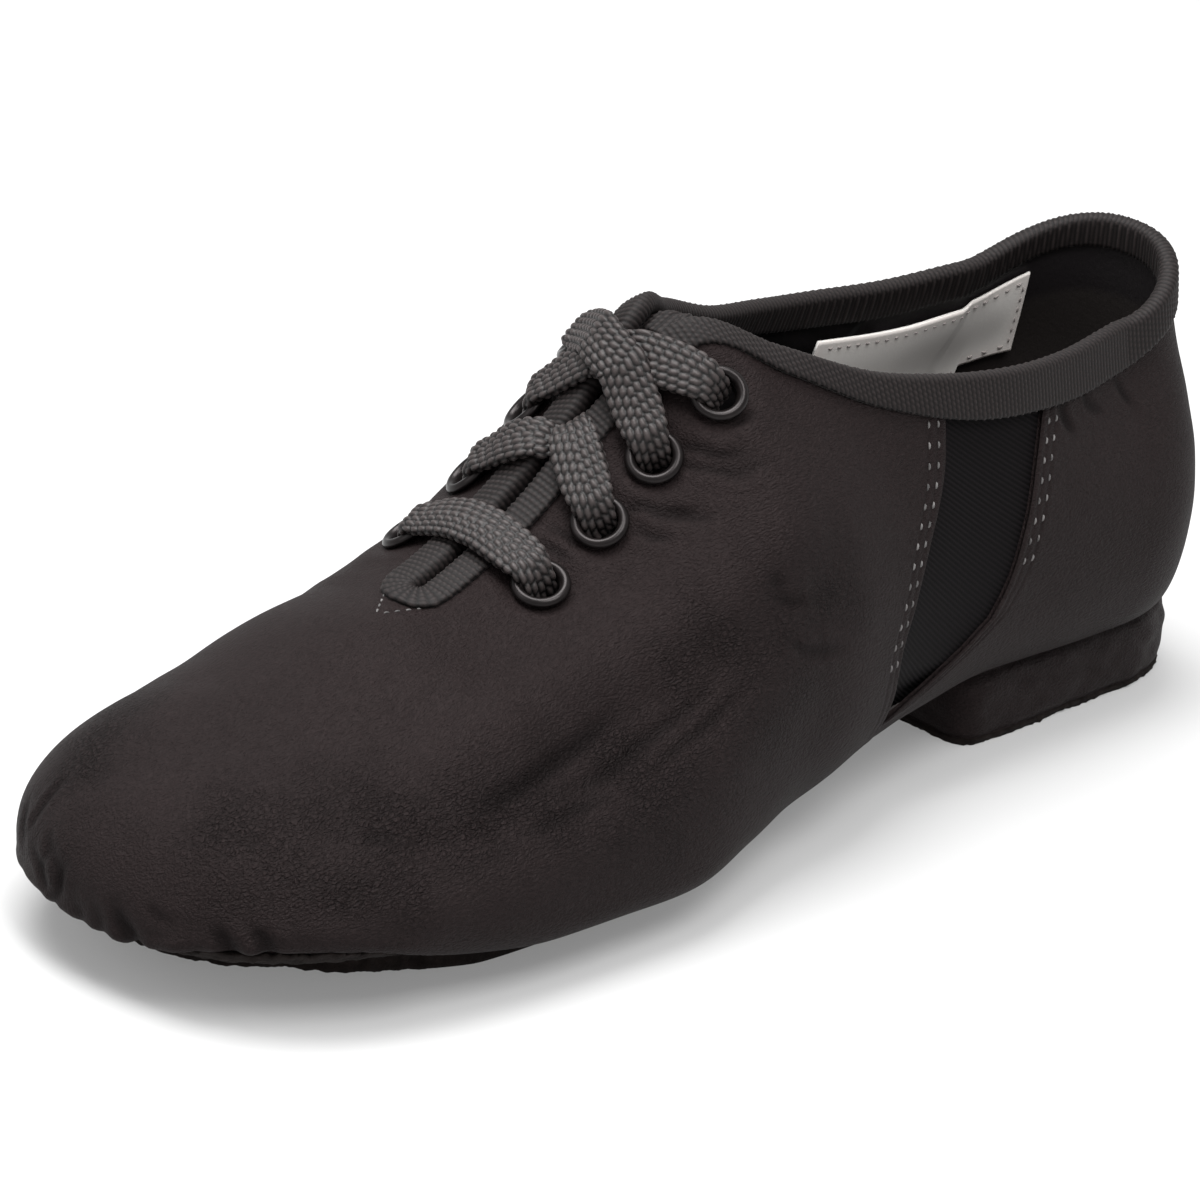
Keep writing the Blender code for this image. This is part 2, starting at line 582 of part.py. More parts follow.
def insole():
    stations = STATIONS
    rims, spines, soles = foot_ring(stations, -0.22)
    rim = np.concatenate([rims[0], rims[1][-2:0:-1]])
    spine = np.concatenate([spines[0], spines[1][-2:0:-1]])
    sole = np.concatenate([soles[0], soles[1][-2:0:-1]])
    base = sole + WALL + 0.0006
    middle = sole + WALL + 0.0006
    # the toe's spine point lies at the toe section, lower than the tip's rim
    low_spine = spine[:, 2] * 0 + middle
    toe = np.concatenate([stations, stations[-2:0:-1]]) > 2
    low_spine[toe] = soles[0][list(stations).index(2.0)] + WALL + 0.0006
    plate("insole", rim[:, :2], spine[:, :2], base, base + SOCK, low_spine, low_spine + SOCK, "lining")


def forefoot_sole():
    """The suede pad under the forefoot: flat on the floor under the ball, rising with the toe."""
    stations = STATIONS[STATIONS >= u_of(0.545 * LENGTH)]
    rims, spines, soles = foot_ring(stations, np.interp(stations, PAD_SIDE[:, 0], PAD_SIDE[:, 1]))
    middle = spines[0][:1]
    rim = np.concatenate([middle, rims[0], rims[1][-2::-1]])
    spine = np.concatenate([middle, spines[0], spines[1][-2::-1]])
    sole = np.concatenate([soles[0][:1], soles[0], soles[1][-2::-1]])
    top = sole - CLEAR
    high_spine = top.copy()
    toe = np.concatenate([[stations[0]], stations, stations[-2::-1]]) > 2
    high_spine[toe] = soles[0][list(stations).index(2.0)] - CLEAR
    low = np.maximum(top - PAD, 0)
    low_spine = np.maximum(high_spine - PAD, 0)
    plate("forefoot_sole", rim[:, :2], spine[:, :2], low, top, low_spine, high_spine, "suede")


# The heel block's outlines upwards: half width, reach behind its pivot, height, front edge from the back.
HEEL_RINGS = ((0.0240, 0.0315, 0.0, 0.0676), (0.0245, 0.0320, 0.0010, 0.0680),
              (0.0236, 0.0308, HEEL_HEIGHT - CLEAR, 0.0690))


def heel():
    """The leather-covered heel block: boxy round the back, rounded corners at the breast."""
    pivot = SECTIONS[0, 0] * LENGTH
    angles = np.linspace(-math.pi / 2, math.pi / 2, 17)
    rings = []
    for half, back, z, front in HEEL_RINGS:
        e = 2 / 3.0
        x = half * np.sign(np.sin(angles)) * np.abs(np.sin(angles)) ** e
        s = pivot - back * np.abs(np.cos(angles)) ** e
        r = 0.0045
        c = np.radians([0, 22, 45, 68, 90])
        right = [(half - r + r * math.cos(a), front - r + r * math.sin(a)) for a in c]
        left = [(-px, ps) for px, ps in right[::-1]]
        outline = list(zip(x, s)) + right + left
        rings.append([(px, HEEL_CENTRE - ps, z) for px, ps in outline])
    rings = np.array(rings)
    n = rings.shape[1]
    faces = tube_faces(3, n, False)
    return solid("heel", rings.reshape(-1, 3), faces, "leather")


def tongue():
    """The tongue: a thin leather strip under the throat, standing a little above the flaps, with a
    bound top edge."""
    s = np.array([0.705, 0.680, 0.655, 0.630, 0.605, 0.580, 0.556, 0.536]) * LENGTH
    half = np.interp(s / LENGTH, [0.53, 0.60, 0.705], [0.0170, 0.0160, 0.0120])
    share = np.linspace(-1, 1, 9)
    b = share[None, :] * half[:, None]
    p, n = across(b, np.broadcast_to(s[:, None], b.shape))
    p = p - n * (WALL + CLEAR + TAPE + CLEAR + 0.0006)
    ahead = p[-1] - p[-2]
    length = np.linalg.norm(ahead, axis=1)[:, None]
    ahead = ahead / length - n[-1] * 0.30
    bow = (1 - share**2)[:, None]
    more = [p[-1] + ahead * (0.0015 + 0.0015 * bow), p[-1] + ahead * (0.0035 + 0.0030 * bow)]
    p = np.concatenate([p, np.array(more)])
    n = np.concatenate([n, n[-1:], n[-1:]])
    rows, cols = p.shape[:2]
    thick = 0.0012
    top, low = p.reshape(-1, 3), (p - n * thick).reshape(-1, 3)
    total = rows * cols
    faces = []
    for i in range(rows - 1):
        for j in range(cols - 1):
            q = (i * cols + j, (i + 1) * cols + j, (i + 1) * cols + j + 1, i * cols + j + 1)
            faces += [q, tuple(total + t for t in q[::-1])]
    loop = border(rows, cols)
    faces += [(a, total + a, total + c, c) for a, c in zip(loop, loop[1:] + loop[:1])]
    solid("tongue", np.concatenate([top, low]), faces, "leather")
    # the bound edge: a bead along the tongue's top, just clear of it
    line = p[-1] - n[-1] * thick / 2 + ahead * 0.0014
    rings = []
    for k in range(cols):
        a, d = ahead[k], n[-1][k]
        turn = np.linspace(0, 2 * math.pi, 9)[:-1]
        rings.append([line[k] + a * 0.0010 * math.cos(t) + d * 0.0011 * math.sin(t) for t in turn])
    rings = np.array(rings)
    solid("tongue_binding", rings.reshape(-1, 3), tube_faces(cols, 8, False), "tape")


def strand(path_b, path_s, lift, width):
    """A flat lace along (b, s) points: cross-sections of the given width, centred at lift above the skin."""
    p, n = across(np.array(path_b), np.array(path_s))
    p = p + n * np.array(lift)[:, None]
    along = np.gradient(p, axis=0)
    along /= np.linalg.norm(along, axis=1)[:, None]
    wide = np.cross(along, n)
    wide /= np.linalg.norm(wide, axis=1)[:, None]
    up = np.cross(wide, along)
    half, thick = np.array(width)[:, None] / 2, LACE_THICK / 2
    section = ((-1, -0.35), (-1, 0.35), (-0.6, 1), (0.6, 1), (1, 0.35), (1, -0.35), (0.6, -1), (-0.6, -1))
    ring = [p + wide * half * x + up * thick * y for x, y in section]
    rings = np.stack(ring, 1)
    return rings.reshape(-1, 3), tube_faces(len(rings), 8, False)


def eyelet_b(side, share):
    gap = float(ribs(side, u_of(share * LENGTH))["gap"][0])
    return side * (EYELET_DOWN + gap)


def span(b0, s0, b1, s1, high):
    """Points of a strand from one eyelet's mouth to another: it dips into both holes and clears the
    tape between."""
    share = np.array([0.0, 0.055, 0.13, 0.24, 0.36, 0.5, 0.64, 0.76, 0.87, 0.945, 1.0])
    b, s = b0 + (b1 - b0) * share, s0 + (s1 - s0) * share
    lift = np.array([0.0001, 0.0022, high, high, high, high, high, high, high, 0.0022, 0.0001])
    width = np.array([0.0030, 0.0042, 0.0066, 0.0078, 0.0080, 0.0080,
                      0.0080, 0.0078, 0.0066, 0.0042, 0.0030])
    return b, s, lift, width


def laces():
    """The lace's visible strands: a bar over the lowest eyelets, an inverted V over the second, and
    one crossing to the upper two."""
    spot = {}
    for side in (1, -1):
        for k, share in enumerate(EYELETS):
            spot[side, k] = (eyelet_b(side, share), share * LENGTH)
    b, s, lift, width = span(*spot[1, 0], *spot[-1, 0], 0.0024)
    solid("lace_bar", *strand(b, s, lift, width), "lace")
    apex_s = (EYELETS[1] * 0.45 + EYELETS[2] * 0.55) * LENGTH
    b, s, lift, width = span(*spot[1, 1], *spot[-1, 1], 0.0024)
    t = np.linspace(-1, 1, len(b))
    s = s - (1 - np.abs(t)) ** 0.8 * (s - apex_s)
    solid("lace_vee", *strand(b, s, lift, width), "lace")
    over = solid("lace_cross", *strand(*span(*spot[1, 2], *spot[-1, 3], 0.0030)), "lace")
    under = solid("lace_under", *strand(*span(*spot[-1, 2], *spot[1, 3], 0.0024)), "lace")
    under.hide_render = True
    under.display_type = "WIRE"
    m = over.modifiers.new("join_under", "BOOLEAN")
    m.operation, m.solver, m.object = "UNION", "EXACT", under


def build():
    clear_scene()
    shell, look = upper()
    binding(look)
    _, hole_v, hole_f = eyelets()
    cut(shell, cutter("eyelet_holes", hole_v, hole_f))
    window_v, window_f = gore_windows(0)
    cut(shell, cutter("gore_windows", window_v, window_f))
    gores()
    label()
    insole()
    forefoot_sole()
    heel()
    tongue()
    laces()


build()
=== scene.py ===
import math

import bpy
import numpy as np
from mathutils import Matrix, Vector


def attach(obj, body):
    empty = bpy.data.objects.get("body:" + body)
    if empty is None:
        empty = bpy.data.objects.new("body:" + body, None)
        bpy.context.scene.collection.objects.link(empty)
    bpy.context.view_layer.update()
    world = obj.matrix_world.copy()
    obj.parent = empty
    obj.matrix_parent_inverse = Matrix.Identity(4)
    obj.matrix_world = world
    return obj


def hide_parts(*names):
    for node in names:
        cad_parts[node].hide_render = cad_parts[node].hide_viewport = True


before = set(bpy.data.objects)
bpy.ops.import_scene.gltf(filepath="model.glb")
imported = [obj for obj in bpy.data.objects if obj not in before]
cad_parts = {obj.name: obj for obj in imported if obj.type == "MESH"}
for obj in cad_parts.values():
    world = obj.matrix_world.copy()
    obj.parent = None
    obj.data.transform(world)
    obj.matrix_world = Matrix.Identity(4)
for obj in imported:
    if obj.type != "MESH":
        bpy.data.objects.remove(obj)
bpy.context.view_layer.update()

# Camera: a long lens that looks down on the shoe's outer side from in front of the toe,
# turned a little about its own axis, as the photograph was taken.
AIM = Vector((0.0, -0.093, 0.035))
AZIMUTH, ELEVATION, ROLL = math.radians(39.28), math.radians(22.86), math.radians(-7.04)
DISTANCE = 0.79914
LENS, SENSOR = 143.06, 36.0
SHIFT = (-0.0579, -0.0052)

level = math.cos(ELEVATION)
back = Vector((math.sin(AZIMUTH) * level, -math.cos(AZIMUTH) * level, math.sin(ELEVATION)))
right = Vector((math.cos(AZIMUTH), math.sin(AZIMUTH), 0.0))
up = back.cross(right)
picture_right = right * math.cos(ROLL) - up * math.sin(ROLL)
picture_up = right * math.sin(ROLL) + up * math.cos(ROLL)
turned = Matrix((picture_right, picture_up, back)).transposed()
lens = bpy.data.cameras.new("camera")
lens.lens, lens.sensor_width, lens.shift_x, lens.shift_y = LENS, SENSOR, *SHIFT
lens.clip_start = 0.01
camera = bpy.data.objects.new("camera", lens)
camera.matrix_world = Matrix.Translation(AIM + back * DISTANCE) @ turned.to_4x4()
bpy.context.scene.collection.objects.link(camera)
bpy.context.scene.camera = camera

# Floor and light: a plain sheet that glows a little, so that the shoe's shadow stays pale, a light room,
# and three soft boxes: one above the inner side, one beyond the toe and one above the outer side.
FLOOR_SIZE, FLOOR_SHADE, FLOOR_GLOW = 6.0, 0.42, 0.20
FLOOR_DARKER = 0.985
ROOM_LIGHT = 0.62
# each box: its name, where it hangs and its width in metres, and its power in watts
BOXES = (("box_above", (-0.26, -0.20, 1.15), 0.80, 23.0),
         ("box_toe", (-0.35, -1.15, 0.75), 0.60, 1.5),
         ("box_side", (0.50, -0.28, 0.95), 0.50, 7.5))


def add(tree, kind, inputs=None, **settings):
    """A shader node of this kind with its settings, and its inputs by name or number: a value, or an output
    to link."""
    node = tree.nodes.new("ShaderNode" + kind)
    for key, value in settings.items():
        setattr(node, key, value)
    for key, value in (inputs or {}).items():
        if isinstance(value, bpy.types.NodeSocket):
            tree.links.new(value, node.inputs[key])
        else:
            node.inputs[key].default_value = value
    return node


def finish_named(name, **values):
    """A new material: itself, its tree and its Principled shader, with plain values set on the shader's own
    sockets."""
    made = bpy.data.materials.new(name)
    made.use_nodes = True
    shader = made.node_tree.nodes["Principled BSDF"]
    for key, value in values.items():
        shader.inputs[key.replace("_", " ")].default_value = value
    return made, made.node_tree, shader


def noise(tree, scale, detail=2.0, **more):
    """Cloudy noise of this scale laid over the object, from 0 to 1."""
    place = add(tree, "TexCoord").outputs["Object"]
    return add(tree, "TexNoise", {"Vector": place, "Scale": scale, "Detail": detail, **more}).outputs["Fac"]


def colour_by(tree, shader, factor, dark, light, start=0.0, end=1.0):
    """Base colour by a factor: dark up to start, light from end on, and an even blend between them."""
    blend = add(tree, "ValToRGB", {"Fac": factor})
    for stop, place, colour in zip(blend.color_ramp.elements, (start, end), (dark, light)):
        stop.position = place
        stop.color = (*colour, 1)
    tree.links.new(blend.outputs["Color"], shader.inputs["Base Color"])


def emboss(tree, shader, *layers):
    """Bumps over one another on the shader's normal, each layer a height, a strength and a distance."""
    normal = {}
    for height, strength, distance in layers:
        bump = add(tree, "Bump", {"Strength": strength, "Distance": distance, "Height": height, **normal})
        normal = {"Normal": bump.outputs["Normal"]}
    tree.links.new(normal["Normal"], shader.inputs["Normal"])


floor_paint, tree, shader = finish_named("floor_paper", Roughness=0.75)
colour_by(tree, shader, noise(tree, 3.0), (FLOOR_SHADE * FLOOR_DARKER,) * 3, (FLOOR_SHADE,) * 3)
# painted light: the floor glows a little, so that the shoe's shadow on it stays pale
shader.inputs["Emission Color"].default_value = (1, 1, 1, 1)
shader.inputs["Emission Strength"].default_value = FLOOR_GLOW
sheet = bpy.data.meshes.new("floor")
half = FLOOR_SIZE / 2
corners = [(-half, -half, 0), (half, -half, 0), (half, half, 0), (-half, half, 0)]
sheet.from_pydata(corners, [], [(0, 1, 2, 3)])
floor = bpy.data.objects.new("floor", sheet)
sheet.materials.append(floor_paint)
bpy.context.scene.collection.objects.link(floor)

for name, spot, size, power in BOXES:
    box = bpy.data.lights.new(name, "AREA")
    box.shape, box.size, box.energy = "SQUARE", size, power
    lamp = bpy.data.objects.new(name, box)
    lamp.location = spot
    lamp.rotation_euler = (AIM - Vector(spot)).to_track_quat("-Z", "Y").to_euler()
    bpy.context.scene.collection.objects.link(lamp)
world = bpy.data.worlds.new("room")
bpy.context.scene.world = world
world.use_nodes = True
air = world.node_tree.nodes["Background"]
air.inputs["Color"].default_value = (1.0, 1.0, 1.0, 1)
air.inputs["Strength"].default_value = ROOM_LIGHT
bpy.context.scene.view_settings.view_transform = "Standard"

# Upper: soft leather over a last, cut as a front that runs from one gore round the toe to the other,
# and a counter round the heel. Sections along the foot give its shape, as they give the solid's.
LENGTH, BALL_WIDTH, INSTEP_HEIGHT, HEEL_HEIGHT = 0.252, 0.086, 0.085, 0.014
BACK_HEIGHT = 0.0793
WALL = 0.0016
HEEL_CENTRE = 0.032
COLUMNS = ("s", "outer", "inner", "waist", "sole", "top", "gap_outer", "gap_inner", "lean", "ridge", "corner")
SECTIONS = np.array([
    (0.119, 0.368, 0.360, 0.365, 1.000, 0.821, 0.205, 0.223, 82.0, 0.000, 0.105),
    (0.200, 0.362, 0.355, 0.370, 1.000, 0.813, 0.242, 0.249, 80.0, 0.000, 0.112),
    (0.270, 0.362, 0.347, 0.359, 1.000, 0.826, 0.260, 0.260, 77.5, 0.000, 0.125),
    (0.340, 0.373, 0.342, 0.346, 0.860, 0.849, 0.246, 0.246, 72.0, -0.003, 0.150),
    (0.400, 0.393, 0.343, 0.338, 0.707, 0.880, 0.214, 0.210, 66.0, -0.008, 0.165),
    (0.470, 0.436, 0.366, 0.324, 0.529, 0.953, 0.155, 0.143, 48.0, -0.026, 0.175),
    (0.520, 0.450, 0.390, 0.273, 0.371, 1.000, 0.065, 0.060, 34.0, -0.044, 0.185),
    (0.570, 0.476, 0.419, 0.212, 0.293, 0.853, 0.028, 0.028, 22.0, -0.064, 0.186),
    (0.630, 0.508, 0.453, 0.153, 0.270, 0.682, 0.026, 0.026, 13.0, -0.081, 0.186),
    (0.700, 0.509, 0.488, 0.142, 0.300, 0.569, 0.023, 0.023, 6.0, -0.076, 0.200),
    (0.780, 0.491, 0.488, 0.148, 0.310, 0.521, 0.023, 0.023, 2.0, -0.056, 0.200),
    (0.857, 0.449, 0.450, 0.190, 0.460, 0.442, 0.023, 0.023, 0.0, -0.037, 0.210),
])
UNITS = np.array([LENGTH, BALL_WIDTH, BALL_WIDTH, INSTEP_HEIGHT, HEEL_HEIGHT, INSTEP_HEIGHT,
                  BALL_WIDTH, BALL_WIDTH, math.pi / 180, BALL_WIDTH, BALL_WIDTH])
BACK = {"waist": 0.0388, "sole": HEEL_HEIGHT, "top": BACK_HEIGHT, "opening": 0.0246, "lean": math.radians(88),
        "corner": 0.0035, "power": 2.2}
TIP = {"waist": 0.0135, "sole": 0.0064, "offset": -0.0041, "corner": 0.0145}
SLIT_END, SLIT_RAMP = 0.730 * LENGTH, 0.004
FIRST, LAST = SECTIONS[0, 0] * LENGTH, SECTIONS[-1, 0] * LENGTH
# the gore windows' edges: share of LENGTH, and down from the collar
GORE_REAR = np.array([(0.226, 0.0042), (0.252, 0.0170), (0.268, 0.0270),
                      (0.287, 0.0375), (0.322, 0.0460), (0.362, 0.0530)])
GORE_FRONT = np.array([(0.338, 0.0042), (0.352, 0.0166), (0.374, 0.0270),
                       (0.395, 0.0380), (0.410, 0.0480), (0.412, 0.0560)])


def smooth(at, x, y):
    """A curve through the points (x, y) read at the places at: cubic pieces, each point's slope the mean of
    its chords'."""
    x, y = np.asarray(x, float), np.asarray(y, float)
    h = np.diff(x)
    d = np.diff(y, axis=0) / h.reshape((-1,) + (1,) * (y.ndim - 1))
    wide = h.reshape((-1,) + (1,) * (y.ndim - 1))
    m = np.empty_like(y)
    m[0], m[-1] = d[0], d[-1]
    m[1:-1] = (d[:-1] * wide[1:] + d[1:] * wide[:-1]) / (wide[1:] + wide[:-1])
    at = np.clip(at, x[0], x[-1])
    i = np.clip(np.searchsorted(x, at, side="right") - 1, 0, len(x) - 2)
    more = (1,) * (y.ndim - 1)
    t, k = ((at - x[i]) / h[i]).reshape(at.shape + more), h[i].reshape(at.shape + more)
    return ((2 * t**3 - 3 * t**2 + 1) * y[i] + (t**3 - 2 * t**2 + t) * k * m[i]
            + (3 * t**2 - 2 * t**3) * y[i + 1] + (t**3 - t**2) * k * m[i + 1])


def unit(v):
    """Directions scaled to the length one."""
    return v / np.linalg.norm(v, axis=-1, keepdims=True)


def run_along(line):
    """How far along a line of points each one lies: the sum of the chords before it."""
    return np.concatenate([[0], np.cumsum(np.linalg.norm(np.diff(line, axis=0), axis=1))])


def ease(t):
    """A soft step of t held between 0 and 1: 3 t squared less 2 t cubed."""
    t = np.clip(t, 0, 1)
    return t * t * (3 - 2 * t)


def bell(t):
    """A bell: e to the power of less t squared."""
    return np.exp(-t**2)


def table(s):
    """Every column of SECTIONS at the distances s along the foot."""
    value = smooth(np.asarray(s, float), SECTIONS[:, 0] * LENGTH, SECTIONS[:, 1:] * UNITS[1:])
    return dict(zip(COLUMNS[1:], np.moveaxis(value, -1, 0)))


def bezier(t, a, b, c, d):
    """The cubic with control values a, b, c, d at t."""
    return (1 - t) ** 3 * a + 3 * (1 - t) ** 2 * t * b + 3 * (1 - t) * t**2 * c + t**3 * d


def u_of(s):
    """The rib number at the distance s: 1 at the first section, 2 at the last."""
    return 1 + (np.asarray(s, float) - FIRST) / (LAST - FIRST)


def s_of(u):
    """The distance along the foot of the rib number u."""
    return FIRST + np.clip(u - 1, 0, 1) * (LAST - FIRST)


def ribs(side, u):
    """The ribs of one side (+1 outer, -1 inner): each one's spine point, direction in plan and sizes along
    it."""
    u = np.atleast_1d(np.asarray(u, float))
    s = s_of(u)
    c = table(s)
    name = "outer" if side > 0 else "inner"
    ramp = np.clip((SLIT_END - s) / SLIT_RAMP, 0, 1)
    r = {"x": c["ridge"].copy(), "s": s, "dx": np.full(u.shape, float(side)), "dy": np.zeros(u.shape),
         "wide": c[name] - side * c["ridge"], "waist": c["waist"], "sole": c["sole"], "top": c["top"],
         "gap": c["gap_" + name] * ramp, "lean": c["lean"], "corner": c["corner"], "slope": np.zeros(u.shape)}
    heel = u < 1
    if heel.any():
        p = u[heel] * math.pi / 2
        e = 2 / BACK["power"]
        a = np.cos(p) ** 2
        px, py = r["wide"][heel] * np.sin(p) ** e, FIRST * np.cos(p) ** e
        wide = np.hypot(px, py)
        cx, cy = r["gap"][heel] * np.sin(p) ** e, BACK["opening"] * np.cos(p) ** e
        r["dx"][heel], r["dy"][heel] = side * px / wide, py / wide
        r["wide"][heel], r["gap"][heel] = wide, np.hypot(cx, cy)
        for key in ("waist", "sole", "top", "lean"):
            r[key][heel] = r[key][heel] * (1 - a) + BACK[key] * a
        r["corner"][heel] = BACK["corner"] + (r["corner"][heel] - BACK["corner"]) * (1 - a) ** 2
    toe = u > 2
    if toe.any():
        t = u[toe] - 2
        a = np.sin(t * math.pi / 2) ** 2
        end = table(np.array([LAST, LAST - 0.002]))
        width = end[name] - side * end["ridge"]
        bend, front = (width[0] - width[1]) / 0.002, LENGTH - LAST
        tip = side * (TIP["offset"] - end["ridge"][0])
        px = bezier(t, width[0], width[0] + bend * 0.58 * front, tip + 0.60 * width[0], tip)
        py = bezier(t, 0, 0.58 * front, front, front)
        wide = np.hypot(px, py)
        r["dx"][toe], r["dy"][toe], r["wide"][toe] = side * px / wide, -py / wide, wide
        for key in ("waist", "sole", "corner"):
            r[key][toe] = r[key][toe] * (1 - a) + TIP[key] * a
        r["slope"][toe] = (end["top"][0] - end["top"][1]) / 0.002 * np.sin(t * math.pi / 2)
    return r


def profile(r, v):
    """Reach and height on the ribs at v: -1 to 0 the underside, 0 to 1 the rounded corner, 1 to 2 the wall to
    its edge."""
    flat, lift, rise = r["wide"] - r["corner"], r["waist"] - r["sole"], r["top"] - r["waist"]
    t = np.clip(v, 0, 1)
    reach = bezier(t, flat, flat + 0.63 * r["corner"], r["wide"], r["wide"])
    height = bezier(t, r["sole"], r["sole"], r["waist"] - 0.6 * lift, r["waist"])
    t = np.clip(v - 1, 0, 1)
    span = np.hypot(r["wide"] - r["gap"], rise)
    pull = 0.35 * span * np.sin(r["lean"]) + 0.52 * (r["wide"] - r["gap"]) * np.cos(r["lean"])
    wall_r = bezier(t, r["wide"], r["wide"], r["gap"] + pull * np.cos(r["lean"]), r["gap"])
    last_h = r["top"] - pull * np.sin(r["lean"]) + pull * r["slope"]
    wall_h = bezier(t, r["waist"], r["waist"] + 0.5 * rise, last_h, r["top"])
    reach = np.where(v < 0, flat * (1 + v), np.where(v > 1, wall_r, reach))
    height = np.where(v < 0, r["sole"], np.where(v > 1, wall_h, height))
    return reach, height


def skin_at(side, u, v):
    """Points of the upper's outside on one side, at rib numbers u and profile places v of one shape."""
    u, v = np.broadcast_arrays(np.asarray(u, float), np.asarray(v, float))
    r = ribs(side, u.ravel())
    reach, height = profile(r, v.ravel())
    p = np.stack([r["x"] + r["dx"] * reach, HEEL_CENTRE - r["s"] + r["dy"] * reach, height], -1)
    return p.reshape(u.shape + (3,))


FINE = np.linspace(0, 2, 161)


def down(side, u, a):
    """The v at which each rib is the arc length a below its top edge or ridge."""
    u, a = np.broadcast_arrays(np.asarray(u, float), np.asarray(a, float))
    reach, height = profile({k: q[:, None] for k, q in ribs(side, u.ravel()).items()}, FINE[None, :])
    step = np.hypot(np.diff(reach, axis=1), np.diff(height, axis=1))
    run = np.concatenate([np.zeros((len(step), 1)), np.cumsum(step[:, ::-1], 1)], 1)
    return np.array([np.interp(q, line, FINE[::-1]) for q, line in zip(a.ravel(), run)]).reshape(u.shape)


def skin(side, u, a):
    """Point and outward normal on the upper's outside at the arc length a below the edge."""
    u, a = np.broadcast_arrays(np.asarray(u, float), np.asarray(a, float))
    h, k = 0.004, 0.0006

    def at(q, w):
        """The point at this rib number and arc length."""
        return skin_at(side, q, down(side, q, w))

    du = at(np.minimum(u + h, 3), a) - at(np.maximum(u - h, 0), a)
    da = at(u, a + k) - at(u, np.maximum(a - k, 0))
    return at(u, a), unit(np.cross(du, da) * side)


def across(b, s):
    """Point and normal at the arc length b from the ridge (+ outer) and s along the foot, bridging the
    throat."""
    b, s = np.broadcast_arrays(np.asarray(b, float), np.asarray(s, float))
    u = u_of(s)
    gap = {k: ribs(k, u.ravel())["gap"].reshape(u.shape) for k in (1, -1)}
    found = {k: skin(k, u, np.maximum(k * b - gap[k], 0)) for k in (1, -1)}
    both = gap[1] + gap[-1]
    t = np.where(both < 1e-6, (b > 0) * 1.0, np.clip((b + gap[-1]) / np.maximum(both, 1e-9), 0, 1))[..., None]
    p, n = (found[-1][k] * (1 - t) + found[1][k] * t for k in (0, 1))
    return p, unit(n)


def grid_faces(rows, cols, close_rows=False, close_cols=False):
    """Quads between the neighbours of a grid whose points are numbered row by row."""
    i = np.arange(rows if close_rows else rows - 1)[:, None]
    j = np.arange(cols if close_cols else cols - 1)[None, :]
    k, m = (i + 1) % rows, (j + 1) % cols
    return np.stack([i * cols + j, i * cols + m, k * cols + m, k * cols + j], -1).reshape(-1, 4)


def vertex_normals(points, faces):
    """The mean direction of the quads round each point, larger quads counting more."""
    first, second, third, fourth = (points[faces[:, k]] for k in range(4))
    looks = np.cross(third - first, fourth - second)
    total = np.zeros_like(points)
    for corner in range(4):
        np.add.at(total, faces[:, corner], looks)
    return total / np.maximum(np.linalg.norm(total, axis=1, keepdims=True), 1e-12)


def facing(points, faces, look):
    """1 where the first points' quads look along the given directions on the whole, -1 where they look the
    other way."""
    look = look.reshape(-1, 3)
    return 1 if (vertex_normals(points, faces)[:len(look)] * look).sum() > 0 else -1


def joined(parts):
    """The points and the blocks of faces of several parts as one."""
    points, blocks, start = [], [], 0
    for p, faces in parts:
        points.append(p)
        blocks += [block + start for block in faces]
        start += len(p)
    return np.concatenate(points), blocks


def without_twins(points):
    """The number of the first of each set of points that coincide, and each point's place among those."""
    _, first, index = np.unique(np.round(points, 7), axis=0, return_index=True, return_inverse=True)
    return first, index.reshape(-1)


def mesh_piece(name, points, faces, finishes, slot, replaced=(), kinds=None, marks=None):
    """A shown piece on the shoe: points that coincide are merged and faces that collapse are dropped. kinds
    gives the material of each block of faces, and marks the float attributes that its finish reads."""
    first, index = without_twins(points)
    kept, kind = [], []
    for number, block in enumerate(faces):
        ids = index[block]
        same = ids == np.roll(ids, -1, axis=1)
        whole = ~same.any(1)
        rows = ids[whole].tolist()
        mended = [row[~drop].tolist() for row, drop in zip(ids[~whole], same[~whole])]
        rows += [row for row in mended if len(set(row)) > 2]
        kept += rows
        kind += [kinds[number] if kinds else 0] * len(rows)
    mesh = bpy.data.meshes.new(name)
    mesh.from_pydata(points[first].tolist(), [], kept)
    mesh.polygons.foreach_set("material_index", kind)
    mesh.polygons.foreach_set("use_smooth", [True] * len(kept))
    for key, values in (marks or {}).items():
        layer = mesh.attributes.new(key, "FLOAT", "POINT")
        layer.data.foreach_set("value", np.asarray(values, np.float32)[first])
    for finish in finishes:
        mesh.materials.append(finish)
    mesh.validate()
    obj = bpy.data.objects.new(name, mesh)
    bpy.context.scene.collection.objects.link(obj)
    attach(obj, "root")
    if replaced:
        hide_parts(*replaced)
    return obj


def wave_noise(p, size, seed, squash=(1, 1, 1)):
    """A smooth uneven height, about -1 to 1 and size wide: the mean of twelve sine waves whose directions the
    seed gives."""
    draw = np.random.default_rng(seed)
    total = np.zeros(len(p))
    for _ in range(12):
        way = draw.normal(size=3)
        way /= np.linalg.norm(way)
        pitch = (2 * math.pi / size) * draw.uniform(0.7, 1.4)
        total += np.sin(p @ (way * np.array(squash)) * pitch + draw.uniform(0, 2 * math.pi))
    return total / 12 * 1.6


